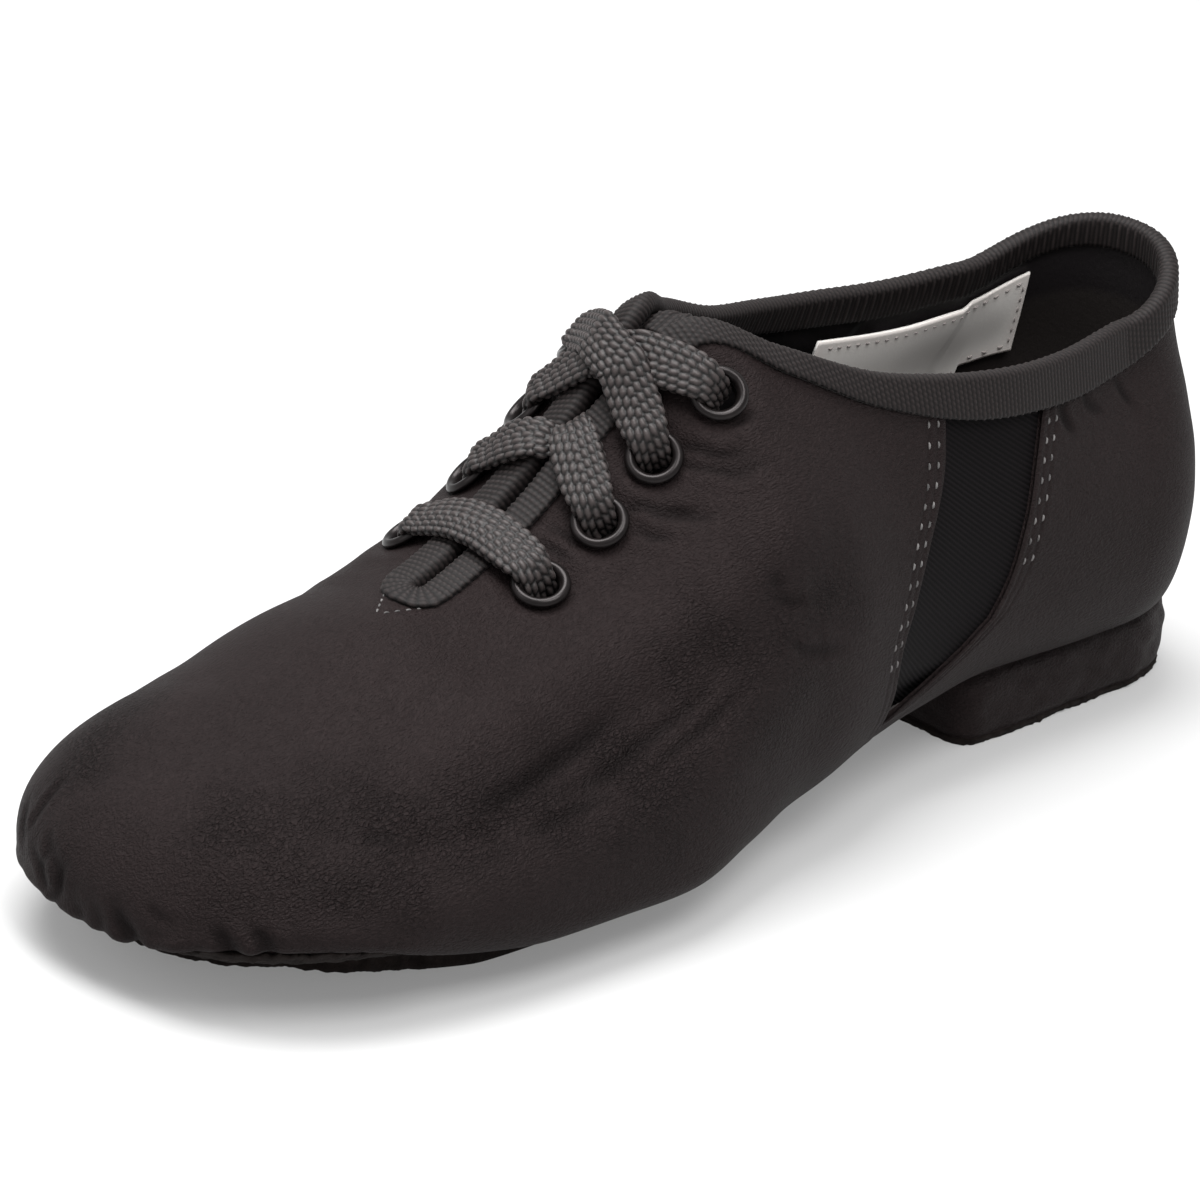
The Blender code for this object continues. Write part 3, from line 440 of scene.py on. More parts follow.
def near_line(p, line, reach):
    """The points within reach of a line: their numbers, distances to it and places along it, from 0 to 1."""
    near = np.nonzero(((p > line.min(0) - reach) & (p < line.max(0) + reach)).all(1))[0]
    best = np.full(len(near), 1.0)
    where = np.zeros(len(near))
    for k in range(len(line) - 1):
        d = line[k + 1] - line[k]
        t = np.clip((p[near] - line[k]) @ d / (d @ d), 0, 1)
        gap = np.linalg.norm(p[near] - line[k] - t[:, None] * d, axis=1)
        closer = gap < best
        best[closer] = gap[closer]
        where[closer] = (k + t[closer]) / (len(line) - 1)
    return near, best, where


def drawn(side, line):
    """Points of the smooth shape on the curve through a line's bends, each (rib number, profile place)."""
    line = np.asarray(line, float)
    run = np.linspace(0, len(line) - 1, 5 * (len(line) - 1) + 1)
    places = smooth(run, np.arange(len(line)), line)
    return skin_at(side, places[:, 0], places[:, 1])


def crease(p, side, depth, width, line):
    """A fold's height: a bell-shaped valley, or a crest where depth is negative, with soft shoulders. It
    fades to both ends. Depth and width are in mm."""
    near, d, t = near_line(p, drawn(side, line), 4 * width / 1000)
    q = d * 1000 / width
    fade = np.clip(np.sin(np.pi * np.clip(t, 0.02, 0.98)), 0, 1) ** 0.6
    h = np.zeros(len(p))
    h[near] = -depth / 1000 * fade * (bell(q) - 0.30 * bell((q - 1.75) / 0.9))
    return h


def band(p, side, strength, width, line):
    """How coarse the grain is round a given line: a bell across it, width in mm."""
    near, d, t = near_line(p, drawn(side, line), 2.5 * width / 1000)
    h = np.zeros(len(p))
    fade = np.clip(np.sin(np.pi * np.clip(t, 0.03, 0.97)) * 2.5, 0, 1)
    h[near] = strength * bell(d * 1000 / width) * fade
    return h


# folds and creases, placed from the photograph: side, depth and width in mm, then each bend's
# rib number and profile place
FOLDS = (
    (1, -1.35, 8.0, ((1.953, 1.504), (1.904, 1.518), (1.854, 1.566), (1.775, 1.609), (1.692, 1.594),
                     (1.589, 1.494), (1.49, 1.475))),
    (1, 1.55, 7.0, ((2.10, 1.40), (1.961, 1.351), (1.893, 1.394), (1.818, 1.437), (1.719, 1.461),
                    (1.632, 1.403), (1.538, 1.317))),
    (1, 0.50, 2.2, ((2.02, 1.37), (1.97, 1.35), (1.92, 1.345), (1.87, 1.37))),
    (1, 0.60, 1.6, ((1.93, 1.41), (1.88, 1.42), (1.82, 1.46), (1.76, 1.50))),
    (1, 0.52, 1.5, ((1.86, 1.34), (1.80, 1.37), (1.73, 1.40), (1.66, 1.39))),
    (1, 0.45, 1.3, ((1.90, 1.29), (1.84, 1.31), (1.79, 1.315))),
    (1, 0.45, 1.3, ((1.76, 1.33), (1.70, 1.34), (1.63, 1.31))),
    (1, 0.35, 1.4, ((2.16, 1.43), (2.10, 1.42), (2.03, 1.42))),
    (1, 0.68, 1.1, ((1.602, 1.845), (1.589, 1.804), (1.582, 1.766), (1.572, 1.733), (1.555, 1.712))),
    (1, 0.57, 1.0, ((1.603, 1.828), (1.597, 1.785), (1.587, 1.742), (1.572, 1.705), (1.55, 1.69))),
    (1, 0.45, 1.0, ((1.561, 1.785), (1.546, 1.776), (1.531, 1.785))),
    (1, 0.45, 1.0, ((1.585, 1.715), (1.57, 1.68), (1.545, 1.665))),
    (1, 0.63, 1.1, ((1.655, 1.838), (1.640, 1.800), (1.632, 1.752), (1.617, 1.699), (1.600, 1.66))),
    (1, 0.48, 1.0, ((1.628, 1.775), (1.621, 1.728), (1.606, 1.704))),
    (1, 0.42, 1.0, ((1.655, 1.79), (1.648, 1.74), (1.635, 1.70))),
    (1, 0.45, 1.0, ((1.711, 1.932), (1.707, 1.881), (1.704, 1.838))),
    (1, 0.42, 1.0, ((1.698, 1.928), (1.692, 1.881), (1.696, 1.842))),
    (1, 0.33, 1.0, ((1.745, 1.957), (1.726, 1.933), (1.715, 1.900))),
    (1, 0.38, 1.1, ((1.585, 1.465), (1.580, 1.437), (1.570, 1.399))),
    (1, 0.38, 1.1, ((1.592, 1.445), (1.572, 1.370), (1.546, 1.317))),
    (1, 0.33, 1.2, ((1.580, 1.303), (1.552, 1.212), (1.501, 1.160))),
    (-1, 0.38, 1.0, ((2.665, 1.38), (2.700, 1.255), (2.720, 1.12))),
    (-1, 0.40, 1.0, ((2.932, 1.17), (2.942, 1.060), (2.917, 0.773), (2.91, 0.55))),
    (-1, 0.36, 1.0, ((2.863, 1.175), (2.921, 1.088), (2.953, 0.98))),
    (-1, 0.40, 1.0, ((2.785, 1.09), (2.857, 1.021), (2.902, 0.88))),
    (-1, 0.34, 1.0, ((2.597, 1.180), (2.662, 1.098), (2.732, 1.040))),
    (-1, 0.30, 1.0, ((2.82, 1.22), (2.86, 1.12), (2.85, 1.02))),
    (1, 0.30, 1.5, ((2.999, 1.05), (2.985, 0.87), (2.975, 0.60), (2.97, 0.25))),
    (1, 0.35, 1.3, ((2.953, 1.041), (2.927, 0.95), (2.915, 0.65), (2.905, 0.25))),
    (1, 1.00, 1.6, ((2.885, 1.07), (2.845, 0.90), (2.812, 0.635), (2.80, 0.25))),
    (1, 0.95, 1.3, ((2.607, 1.07), (2.576, 1.02), (2.555, 0.965), (2.54, 0.86))),
    (1, 0.95, 1.3, ((2.505, 1.09), (2.475, 1.026), (2.458, 0.98), (2.45, 0.88))),
    (1, -0.55, 2.4, ((2.735, 1.00), (2.715, 0.90), (2.70, 0.75))),
    (1, -0.50, 2.2, ((2.527, 1.02), (2.51, 0.98), (2.50, 0.90))),
    (1, 0.25, 1.0, ((2.80, 1.12), (2.76, 1.08), (2.71, 1.07))),
    (-1, 0.14, 1.5, ((2.96, 0.95), (2.95, 0.70), (2.945, 0.30))),
    (-1, 0.14, 1.3, ((2.86, 0.95), (2.85, 0.70), (2.85, 0.30))),
    (-1, 0.14, 1.4, ((2.74, 0.98), (2.72, 0.72), (2.72, 0.35))),
    (-1, 0.14, 1.3, ((2.60, 0.98), (2.58, 0.75), (2.58, 0.40))),
    (-1, 0.14, 1.3, ((2.42, 0.95), (2.41, 0.70), (2.41, 0.40))),
    (-1, -0.40, 8.0, ((1.96, 1.52), (1.90, 1.56), (1.78, 1.62), (1.66, 1.60), (1.54, 1.52))),
    (-1, 0.50, 7.0, ((1.98, 1.37), (1.93, 1.36), (1.82, 1.42), (1.70, 1.44), (1.58, 1.38))),
    (-1, 0.54, 1.5, ((1.98, 1.36), (1.90, 1.37), (1.82, 1.40))),
    (-1, 0.54, 1.2, ((1.655, 1.82), (1.640, 1.78), (1.630, 1.74), (1.612, 1.70))),
    (-1, 0.54, 1.2, ((1.600, 1.82), (1.588, 1.77), (1.575, 1.73))),
    (1, 0.60, 1.3, ((1.122, 1.835), (1.120, 1.74), (1.110, 1.65))),
    (1, 0.51, 1.2, ((1.080, 1.84), (1.075, 1.76), (1.052, 1.69))),
    (1, 0.45, 1.2, ((1.023, 1.83), (1.011, 1.73), (1.000, 1.65))),
    (-1, 0.51, 1.3, ((1.10, 1.83), (1.09, 1.74), (1.07, 1.66))),
    (-1, 0.45, 1.2, ((1.03, 1.82), (1.02, 1.73), (1.01, 1.66))),
)
# bands of coarser grain: side, strength, width in mm, and the line they follow
BANDS = (
    (1, 0.85, 10.0, ((2.899, 1.399), (2.720, 1.484), (2.503, 1.547), (2.210, 1.575), (1.998, 1.484),
                     (1.947, 1.375), (1.852, 1.375), (1.752, 1.365), (1.647, 1.313))),
    (1, 0.60, 11.0, ((1.726, 1.527), (1.647, 1.461), (1.565, 1.332), (1.44, 1.28))),
    (1, 0.55, 6.0, ((2.70, 1.15), (2.383, 1.227), (2.163, 1.212), (1.983, 1.126))),
    (1, 0.40, 9.0, ((1.86, 1.05), (1.715, 1.193), (1.602, 1.126), (1.497, 1.064))),
    (-1, 0.90, 9.0, ((2.85, 1.35), (2.60, 1.45), (2.30, 1.50), (2.05, 1.45), (1.90, 1.38), (1.70, 1.40),
                     (1.55, 1.36))),
    (-1, 0.60, 6.0, ((2.999, 1.05), (2.85, 1.10), (2.70, 1.12), (2.5, 1.10))),
)
# under the toe the leather turns in over the pad: rib number and profile place of that edge on each side
TURNED_IN = {1: np.array([(1.90, 0.45), (2.05, 0.72), (2.18, 0.86), (2.25, 0.90), (2.33, 0.93), (2.43, 0.945),
                          (2.53, 0.94), (2.64, 0.89), (2.72, 0.81), (2.81, 0.70), (2.92, 0.66), (3.0, 0.68)]),
             -1: np.array([(1.90, 0.40), (2.20, 0.55), (2.50, 0.66), (2.75, 0.72), (2.90, 0.72),
                           (3.0, 0.68)])}
TURNED_DEEP = 0.0017
# the eyelets' places, as shares of LENGTH and down from the edge, and the two stitch rows beside a gore
EYELETS, EYELET_DOWN, EYELET_HOLE = (0.663, 0.613, 0.571, 0.528), 0.0132, 0.0040
SEAM_ROWS = (0.0021, 0.0044)


def eyelet_frame(side, share):
    """An eyelet's centre on the skin, its outward normal, and two directions in its plane: down the flap and
    along it."""
    u = u_of(share * LENGTH)
    p, n = skin(side, u, np.array(EYELET_DOWN))
    q, _ = skin(side, u, np.array(EYELET_DOWN + 0.002))
    x = unit(q - p - n * np.dot(q - p, n))
    return p, n, x, np.cross(n, x)


EYELET_FRAMES = [eyelet_frame(side, share) for side in (1, -1) for share in EYELETS]
# the profile places of the leather's rows: six on the underside, then the corner, then the wall
ROWS_V = np.concatenate([np.linspace(-1, 0, 7)[:-1], np.linspace(0, 1, 28)[:-1], np.linspace(1, 2, 85)])


def turned_edge(side, u):
    """Profile place of the turned-in edge, and how far in it lies there."""
    v = np.where(side > 0, smooth(u, *TURNED_IN[1].T), smooth(u, *TURNED_IN[-1].T))
    return v, TURNED_DEEP * ease((u - 1.92) / 0.20)


def leather_height(p, mark):
    """How far the leather stands off its smooth shape: slow waves, folds and pleats, dips round the eyelets,
    the dents of the seams beside a gore, and a step inwards under the toe."""
    h = 0.00028 * wave_noise(p, 0.034, 11) + 0.00011 * wave_noise(p, 0.013, 12)
    # painted shade: the depth of the narrow valley folds, kept as the mark fold, darkens the leather's colour
    # in them
    fold_shade_depth = np.zeros(len(p))
    for fold in FOLDS:
        one = crease(p, *fold)
        h += one
        fold_shade_depth += one * (0 < fold[1] and fold[2] < 2)
    mark["fold"] = np.clip(-fold_shade_depth / 0.00038, 0, 1)
    for centre, axis, _, _ in EYELET_FRAMES:
        r = np.linalg.norm(p - centre, axis=1)
        h += 0.00022 * bell((r - 0.0082) / 0.0018) - 0.00040 * bell((r - 0.0046) / 0.0014)
    for row in SEAM_ROWS:
        h -= 0.00016 * bell((mark["edge"] - row) / 0.00055)
    h -= 0.00030 * bell(mark["edge"] / 0.00045)
    place, deep = turned_edge(mark["side"], mark["u"])
    h -= deep * ease((place - mark["v"]) / 0.075)
    return h + 0.35 * deep * bell((mark["v"] - place - 0.10) / 0.09) * (mark["u"] > 1.9)


def grain_of(p):
    """How coarse the grain is, from 0 to 1: the given bands over a little everywhere, broken up by waves."""
    total = 0.16 + 0.10 * wave_noise(p, 0.028, 21)
    for one in BANDS:
        total = total + band(p, *one)
    return np.clip(total * (0.85 + 0.35 * wave_noise(p, 0.011, 22)), 0, 1)


FOOT_MIDDLE = np.array([0, -0.09, 0.03])


def leather_shell(name, side_grids, replaced, open_top, tab=0.0):
    """Leather as a closed shell over a grid of columns round the foot by rows up it, with every third point
    inside. open_top counts the columns from each end whose top row is a free edge. The rest of that row is
    the ridge, where both sides meet. Below the profile place tab, the ends are pushed in."""
    grid, mark = side_grids
    cols, rows = grid.shape[:2]
    first, index = without_twins(grid.reshape(-1, 3))
    p, index = grid.reshape(-1, 3)[first], index.reshape(cols, rows)
    mark = {k: q.reshape(-1)[first] for k, q in mark.items()}
    quads = index.reshape(-1)[grid_faces(cols, rows)]
    n = vertex_normals(p, quads)
    turned_round = (n * (p - FOOT_MIDDLE)).sum() < 0
    if turned_round:
        quads, n = quads[:, ::-1], -n
    h = leather_height(p, mark)
    if tab:
        # the counter's tab goes in under the front's edge below the gore
        h -= 0.0013 * np.clip((tab - mark["v"]) / 0.10, 0, 1) * np.clip(1 - mark["edge"] / 0.016, 0, 1)
    mark["coarse"] = grain_of(p)
    outside = p + n * h[:, None]
    thick = np.clip(0.0008 + (mark["edge"] - 0.008) / 0.006 * 0.0008, 0.0008, WALL)
    coarse = index[::3, ::3]
    used, back_index = np.unique(coarse.reshape(-1), return_inverse=True)
    inside = p[used] - n[used] * (thick[used] - np.minimum(h[used], 0))[:, None]
    total = len(p)
    back_index = back_index.reshape(coarse.shape) + total
    lining = back_index.reshape(-1)[grid_faces(*coarse.shape)]
    if not turned_round:
        lining = lining[:, ::-1]

    def rim_faces(line, under, m, turn):
        """One face to each coarse edge, from three fine edges to one on the back."""
        block = np.stack([line[3 * m + k] for k in range(4)] + [under[m + 1], under[m]], 1)
        return block[:, ::-1] if turn else block

    m = np.arange(coarse.shape[1] - 1)
    rim = [rim_faces(index[c], back_index[c], m, (c < 0) != turned_round) for c in (0, -1)]
    free, steps = open_top // 3, coarse.shape[0] - 1
    whole = open_top * 2 >= cols - 1
    for m in [np.arange(steps)] if whole else [np.arange(free), np.arange(steps - free, steps)]:
        rim.append(rim_faces(index[:, -1], back_index[:, -1], m, turned_round))
    points = np.concatenate([outside, inside])
    hole = np.zeros(len(points), bool)
    for centre, axis, _, _ in EYELET_FRAMES:
        off = points - centre
        along = off @ axis
        from_axis = np.linalg.norm(off - along[:, None] * axis, axis=1)
        hole |= (from_axis < EYELET_HOLE) & (abs(along) < EYELET_HOLE)
    quads = quads[~hole[quads].all(1)]
    lining = lining[~hole[lining].any(1)]
    marks = {k: np.concatenate([q, q[used]]) for k, q in mark.items()}
    kinds, finishes = [0, 1] + [0] * len(rim), [leather, lining_cloth]
    return mesh_piece(name, points, [quads, lining] + rim, finishes, "leather", replaced, kinds, marks)


def ranged(tree, value, start, end, low=0.0, high=1.0, **settings):
    """A value mapped so that start to end becomes low to high, and held beyond both."""
    inputs = {"Value": value, "From Min": start, "From Max": end, "To Min": low, "To Max": high}
    return add(tree, "MapRange", inputs, **settings).outputs["Result"]


def product(tree, one, other):
    """Two values multiplied."""
    return add(tree, "Math", {0: one, 1: other}, operation="MULTIPLY").outputs["Value"]


def marked(tree, name):
    """A float attribute of the piece."""
    return add(tree, "Attribute", attribute_name=name).outputs["Fac"]


def place_math(tree, kind, *inputs, **more):
    """Two places added, multiplied, or one scaled."""
    return add(tree, "VectorMath", {**dict(enumerate(inputs)), **more}, operation=kind).outputs["Vector"]


def cell_pillows(tree, place, scale, soft):
    """Rounded cells: the distance to the nearest cell wall, eased up to 1 within soft of it."""
    cells = add(tree, "TexVoronoi", {"Vector": place, "Scale": scale}, feature="DISTANCE_TO_EDGE")
    return ranged(tree, cells.outputs["Distance"], 0.0, soft, interpolation_type="SMOOTHSTEP")


leather, tree, shader = finish_named("black_leather", Roughness=0.58, Specular_IOR_Level=0.11,
                                     Specular_Tint=(1.0, 0.86, 0.86, 1))
here = add(tree, "TexCoord").outputs["Object"]
wander = add(tree, "TexNoise", {"Vector": here, "Scale": 260.0, "Detail": 2.0})
place = place_math(tree, "ADD", here, place_math(tree, "SCALE", wander.outputs["Color"], Scale=0.0011))
# even pebbles, 0.6 mm wide, over all of it
pillow = cell_pillows(tree, place, 1500.0, 0.22)
# longer cells in the coarse bands, drawn out along the foot
laid = place_math(tree, "MULTIPLY", place, (1650.0, 1000.0, 1650.0))
swirl = add(tree, "TexNoise", {"Vector": laid, "Scale": 0.35, "Detail": 3.0})
bent = place_math(tree, "ADD", laid, place_math(tree, "SCALE", swirl.outputs["Color"], Scale=2.6))
cushion = cell_pillows(tree, bent, 0.85, 0.26)
# short dashes along the foot
drawn_out = place_math(tree, "MULTIPLY", place, (2600.0, 1000.0, 2600.0))
dashes = {"Vector": drawn_out, "Scale": 1.0, "Detail": 3.0, "Roughness": 0.6}
fine = add(tree, "TexNoise", dashes).outputs["Fac"]
coarse_here = marked(tree, "coarse")
strong = ranged(tree, coarse_here, 0.22, 0.95, 0.0, 0.95)
weak = ranged(tree, coarse_here, 0.0, 1.0, 0.30, 0.45)
emboss(tree, shader, (cushion, strong, 0.00036), (pillow, weak, 0.00018), (fine, 1.0, 0.00050))
# painted shade: the colour is darker between the coarse cells and in the folds, where shade falls, and uneven
# over the whole skin
soft = ranged(tree, cushion, 0.0, 1.0, 0.35, 1.0)
cell_valley_shade = add(tree, "Mix", {"Factor": strong, 2: 1.0, 3: soft}, data_type="FLOAT").outputs[0]
patches = ranged(tree, noise(tree, 45.0, 3.0), 0.3, 0.7, 0.75, 1.0)
# painted shade in the narrow folds: the colour falls to a quarter where they are deepest
fold_shade = ranged(tree, marked(tree, "fold"), 0.0, 1.0, 1.0, 0.25)
speck = ranged(tree, fine, 0.32, 0.68, 0.50, 1.10)
shade = product(tree, product(tree, product(tree, cell_valley_shade, patches), fold_shade), speck)
colour_by(tree, shader, shade, (0.0018, 0.0011, 0.0011), (0.0130, 0.0090, 0.0090))

# inside, cloth near the collar and felt lower down
lining_cloth, tree, shader = finish_named("lining_cloth", Roughness=0.55, Specular_IOR_Level=0.35)
felted = ranged(tree, marked(tree, "v"), 1.66, 1.60)
colour_by(tree, shader, felted, (0.010, 0.008, 0.009), (0.020, 0.0165, 0.0155))
emboss(tree, shader, (noise(tree, 900.0, 4.0), 0.5, 0.0002))


def edge_places(edge, tail):
    """A gore edge as a distance along the foot for each row, on each side: through its points, then on under
    the foot."""
    made = {}
    for side in (1, -1):
        v = down(side, u_of(edge[:, 0] * LENGTH), edge[:, 1])
        v = np.concatenate([[2.0], v, [tail[0], -1.0]])
        above = edge[0, 0] - (edge[1, 0] - edge[0, 0]) * 0.3
        s = np.concatenate([[above], edge[:, 0], [tail[1], tail[2]]]) * LENGTH
        made[side] = smooth(ROWS_V, v[::-1], s[::-1])
    return made


def half_grid(side, u, edge):
    """One side's grid of the leather, with the values that its height and finish read."""
    v = np.broadcast_to(ROWS_V, u.shape)
    return skin_at(side, u, v), {"edge": edge, "side": np.full(u.shape, float(side)), "u": u, "v": v}


def both_halves(halves, outer, inner):
    """The columns of the outer and the inner half that these slices take, joined."""
    grid, mark = zip(*halves)
    joined_mark = {k: np.concatenate([mark[0][k][outer], mark[1][k][inner]]) for k in mark[0]}
    return np.concatenate([grid[0][outer], grid[1][inner]]), joined_mark


front_edge = edge_places(GORE_FRONT, (0.30, 0.414, 0.416))
rear_edge = edge_places(GORE_REAR, (0.55, 0.428, 0.430))

# the front: columns from the outer gore round the toe to the inner one, closest at the folded edges
MID_EDGE = 0.380 * LENGTH
near_edge = np.concatenate([[0, 0.00015, 0.0003], np.arange(1, 26) * 0.0003 + 0.0003])
to_slit = np.linspace(near_edge[-1] + MID_EDGE, SLIT_END, 3 * 44 + 1)
column_s = np.concatenate([MID_EDGE + near_edge[:-1], to_slit, np.linspace(SLIT_END, LAST, 3 * 17 + 1)[1:]])
TOE_COLUMNS, FAR_OFF = 3 * 32, 0.1
toe_u = 2 + np.linspace(0, 1, TOE_COLUMNS + 1)[1:, None]
follow = np.clip(1 - (column_s - MID_EDGE) / 0.060, 0, 1) ** 1.5
halves = []
for side in (1, -1):
    s = column_s[:, None] + (front_edge[side][None, :] - MID_EDGE) * follow[:, None]
    u = np.concatenate([u_of(s), np.broadcast_to(toe_u, (TOE_COLUMNS, len(ROWS_V)))])
    edge = np.concatenate([s - front_edge[side], np.full((TOE_COLUMNS, len(ROWS_V)), FAR_OFF)])
    halves.append(half_grid(side, u, edge))
front = both_halves(halves, slice(None), slice(-2, None, -1))
open_columns = len(near_edge) - 1 + 3 * 44
leather_shell("upper_front", front, ["upper"], open_columns)

# the counter: from the outer gore's rear edge round the heel to the inner one
HEEL_RUN, TAB_FROM = 0.045, 0.62
run_edge = {side: HEEL_RUN + rear_edge[side] - FIRST for side in (1, -1)}
MID_RUN = HEEL_RUN + 0.268 * LENGTH - FIRST
run = np.concatenate([np.linspace(0, MID_RUN - near_edge[-1], 3 * 34 + 1), MID_RUN - near_edge[-2::-1]])
halves = []
for side in (1, -1):
    g = run[:, None] + (run_edge[side][None, :] - MID_RUN) * (run[:, None] / MID_RUN) ** 2
    u = np.where(g < HEEL_RUN, g / HEEL_RUN, u_of(g - HEEL_RUN + FIRST))
    halves.append(half_grid(side, u, run_edge[side] - g))
counter = both_halves(halves, slice(None, None, -1), slice(1, None))
leather_shell("upper_counter", counter, ["upper"], len(counter[0]), TAB_FROM)

# Gores: wide black elastic let in behind the leather on both sides, woven with fine ribs that run
# square to its length. Its edges are sewn in under the folded leather.
ELASTIC_THICK, ELASTIC_DEEP, RIB = 0.0010, 0.0009, 0.00095
ELASTIC_HIGH, ELASTIC_MARGIN = (0.0036, 0.0640), 0.0040
ELASTIC_ROWS, ELASTIC_COLS, ELASTIC_BACK = 331, 91, 6
GORE_WAY = np.array([26.5, 49.0]) / math.hypot(26.5, 49.0)

elastic, tree, shader = finish_named("ribbed_elastic", Roughness=0.75, Sheen_Weight=0.02, Sheen_Roughness=0.4,
                                     Specular_IOR_Level=0.07)
# painted shade: the elastic is darker in the grooves between its ribs and lighter on their tops
colour_by(tree, shader, marked(tree, "rib"), (0.0008, 0.0006, 0.0007), (0.0048, 0.0036, 0.0042))
emboss(tree, shader, (noise(tree, 3200.0), 0.5, 0.0001))


def rims(fine, coarse, step):
    """The faces that close a fine grid to a coarse one all round: one face to each coarse edge."""
    def rim(line, under):
        """One side of the rim, from a line of fine points to one of coarse ones."""
        m = np.arange(len(under) - 1)
        return np.stack([line[step * m + k] for k in range(step + 1)] + [under[m + 1], under[m]], 1)
    return [rim(fine[:, 0], coarse[:, 0]), rim(fine[:, -1], coarse[:, -1])[:, ::-1],
            rim(fine[0], coarse[0])[:, ::-1], rim(fine[-1], coarse[-1])]


def sheet_faces(shape, step, turn):
    """Faces of a closed sheet: a fine grid on its face, every step-th point of it on its back, and a rim.
    turn winds them the other way."""
    rows, cols = shape
    r2, c2 = (rows - 1) // step + 1, (cols - 1) // step + 1
    fine = np.arange(rows * cols).reshape(rows, cols)
    coarse = rows * cols + np.arange(r2 * c2).reshape(r2, c2)
    blocks = [grid_faces(rows, cols), rows * cols + grid_faces(r2, c2)[:, ::-1]] + rims(fine, coarse, step)
    return [block[:, ::-1] for block in blocks] if turn else blocks


def gore(side, name):
    """Elastic over the wall: its height is a cosine of the distance along the gore, so that the ribs lie
    square to it."""
    depth, part = np.linspace(*ELASTIC_HIGH, ELASTIC_ROWS), np.linspace(0, 1, ELASTIC_COLS)
    low, high = (smooth(np.clip(depth, *line[[0, -1], 1]), line[:, 1], line[:, 0]) * LENGTH + margin
                 for line, margin in ((GORE_REAR, -ELASTIC_MARGIN), (GORE_FRONT, ELASTIC_MARGIN)))
    s = low[:, None] + (high - low)[:, None] * part
    a = np.broadcast_to(depth[:, None], s.shape)
    sparse = (slice(None, None, ELASTIC_BACK),) * 2
    spread = np.concatenate(skin(side, u_of(s[sparse]), a[sparse]), -1)
    spread = smooth(np.arange(ELASTIC_ROWS) / ELASTIC_BACK, np.arange(spread.shape[0]), spread)
    spread = np.moveaxis(spread, 1, 0)
    spread = smooth(np.arange(ELASTIC_COLS) / ELASTIC_BACK, np.arange(spread.shape[0]), spread)
    spread = np.moveaxis(spread, 0, 1)
    p, n = spread[..., :3], spread[..., 3:]
    rib = 0.5 + 0.5 * np.cos((s * GORE_WAY[0] + a * GORE_WAY[1]) * 2 * math.pi / RIB)
    deep = ELASTIC_DEEP + 0.0012 * np.clip((a - 0.050) / 0.006, 0, 1)
    slack = 0.0004 * np.sin(np.pi * part)[None, :]
    face = p - n * (deep + 0.00014 * (1 - rib) + slack)[..., None]
    under = (p - n * (deep + ELASTIC_THICK)[..., None])[sparse]
    points = np.concatenate([face.reshape(-1, 3), under.reshape(-1, 3)])
    marks = {"rib": np.concatenate([rib.ravel(), rib[sparse].ravel()])}
    blocks = sheet_faces(s.shape, ELASTIC_BACK, side > 0)
    return mesh_piece(name, points, blocks, [elastic], "elastic", [name], marks=marks)


for side, name in ((1, "gore_outer"), (-1, "gore_inner")):
    gore(side, name)

# Binding: a woven tape folded over the collar, both edges of the throat and round its front end,
# in one loop. It has cross ribs, and its legs are sewn down outside and inside.
TAPE, RIB_PITCH, WARP_PITCH, RIB_HEIGHT = 0.00085, 0.00108, 0.00105, 0.00026
TAPE_STEP = 0.00027
# how far the tape's legs reach down, in mm, by rib number
TAPE_LEG = np.array([(0.0, 6.6), (0.84, 6.0), (1.09, 7.2), (1.17, 7.0), (1.26, 6.8),
                     (1.31, 6.2), (1.36, 5.2), (1.42, 4.7), (1.6, 4.4), (2.0, 4.2)])
TURN = u_of(SLIT_END - SLIT_RAMP)
HALF_TURN = np.radians(np.arange(20, 161, 20))

tape, tree, shader = finish_named("binding_tape", Roughness=0.62, Sheen_Weight=0.04, Sheen_Roughness=0.35,
                                  Specular_IOR_Level=0.18)
# painted shade: the tape is darker in the grooves of its weave and lighter on the ribs' tops
colour_by(tree, shader, marked(tree, "rib"), (0.0022, 0.0016, 0.0016), (0.023, 0.0175, 0.017))
emboss(tree, shader, (noise(tree, 2400.0, 3.0), 0.6, 0.00012))


def tape_profile(p, n):
    """One section of the folded tape, p and n being points and normals from the edge down at quarters of the
    leg. Its ring goes up the outside, over the edge as half an ellipse, down the inside, and back close to
    the leather."""
    over = p[0] - p[1]
    over = unit(over - n[0] * (over @ n[0]))
    places = np.linspace(0, 1, len(p))

    def at(share, h):
        """The point this share of the way down the leg, h off the skin."""
        spot = smooth(np.array([share]), places, p)[0]
        return spot + smooth(np.array([share]), places, n)[0] * h

    half = WALL / 2 + TAPE
    centre = p[0] - n[0] * WALL / 2
    ring = [at(1.0, 0.00010), at(0.985, 0.00062), at(0.94, 0.00085)]
    ring += [at(q, TAPE + 0.00012 * math.sin(math.pi * q)) for q in np.linspace(0.85, 0, 18)]
    ring += [centre + n[0] * half * math.cos(q) + over * (TAPE + 0.0004) * math.sin(q) for q in HALF_TURN]
    ring += [at(q, -WALL - TAPE) for q in (0.0, 0.15, 0.30, 0.45, 0.60, 0.70)]
    ring += [at(0.74, -WALL - 0.0001), at(0.35, -WALL - 0.00003), at(0.0, -WALL - 0.00003)]
    return np.array(ring + [at(0.0, 0.00003), at(0.5, 0.00003)])


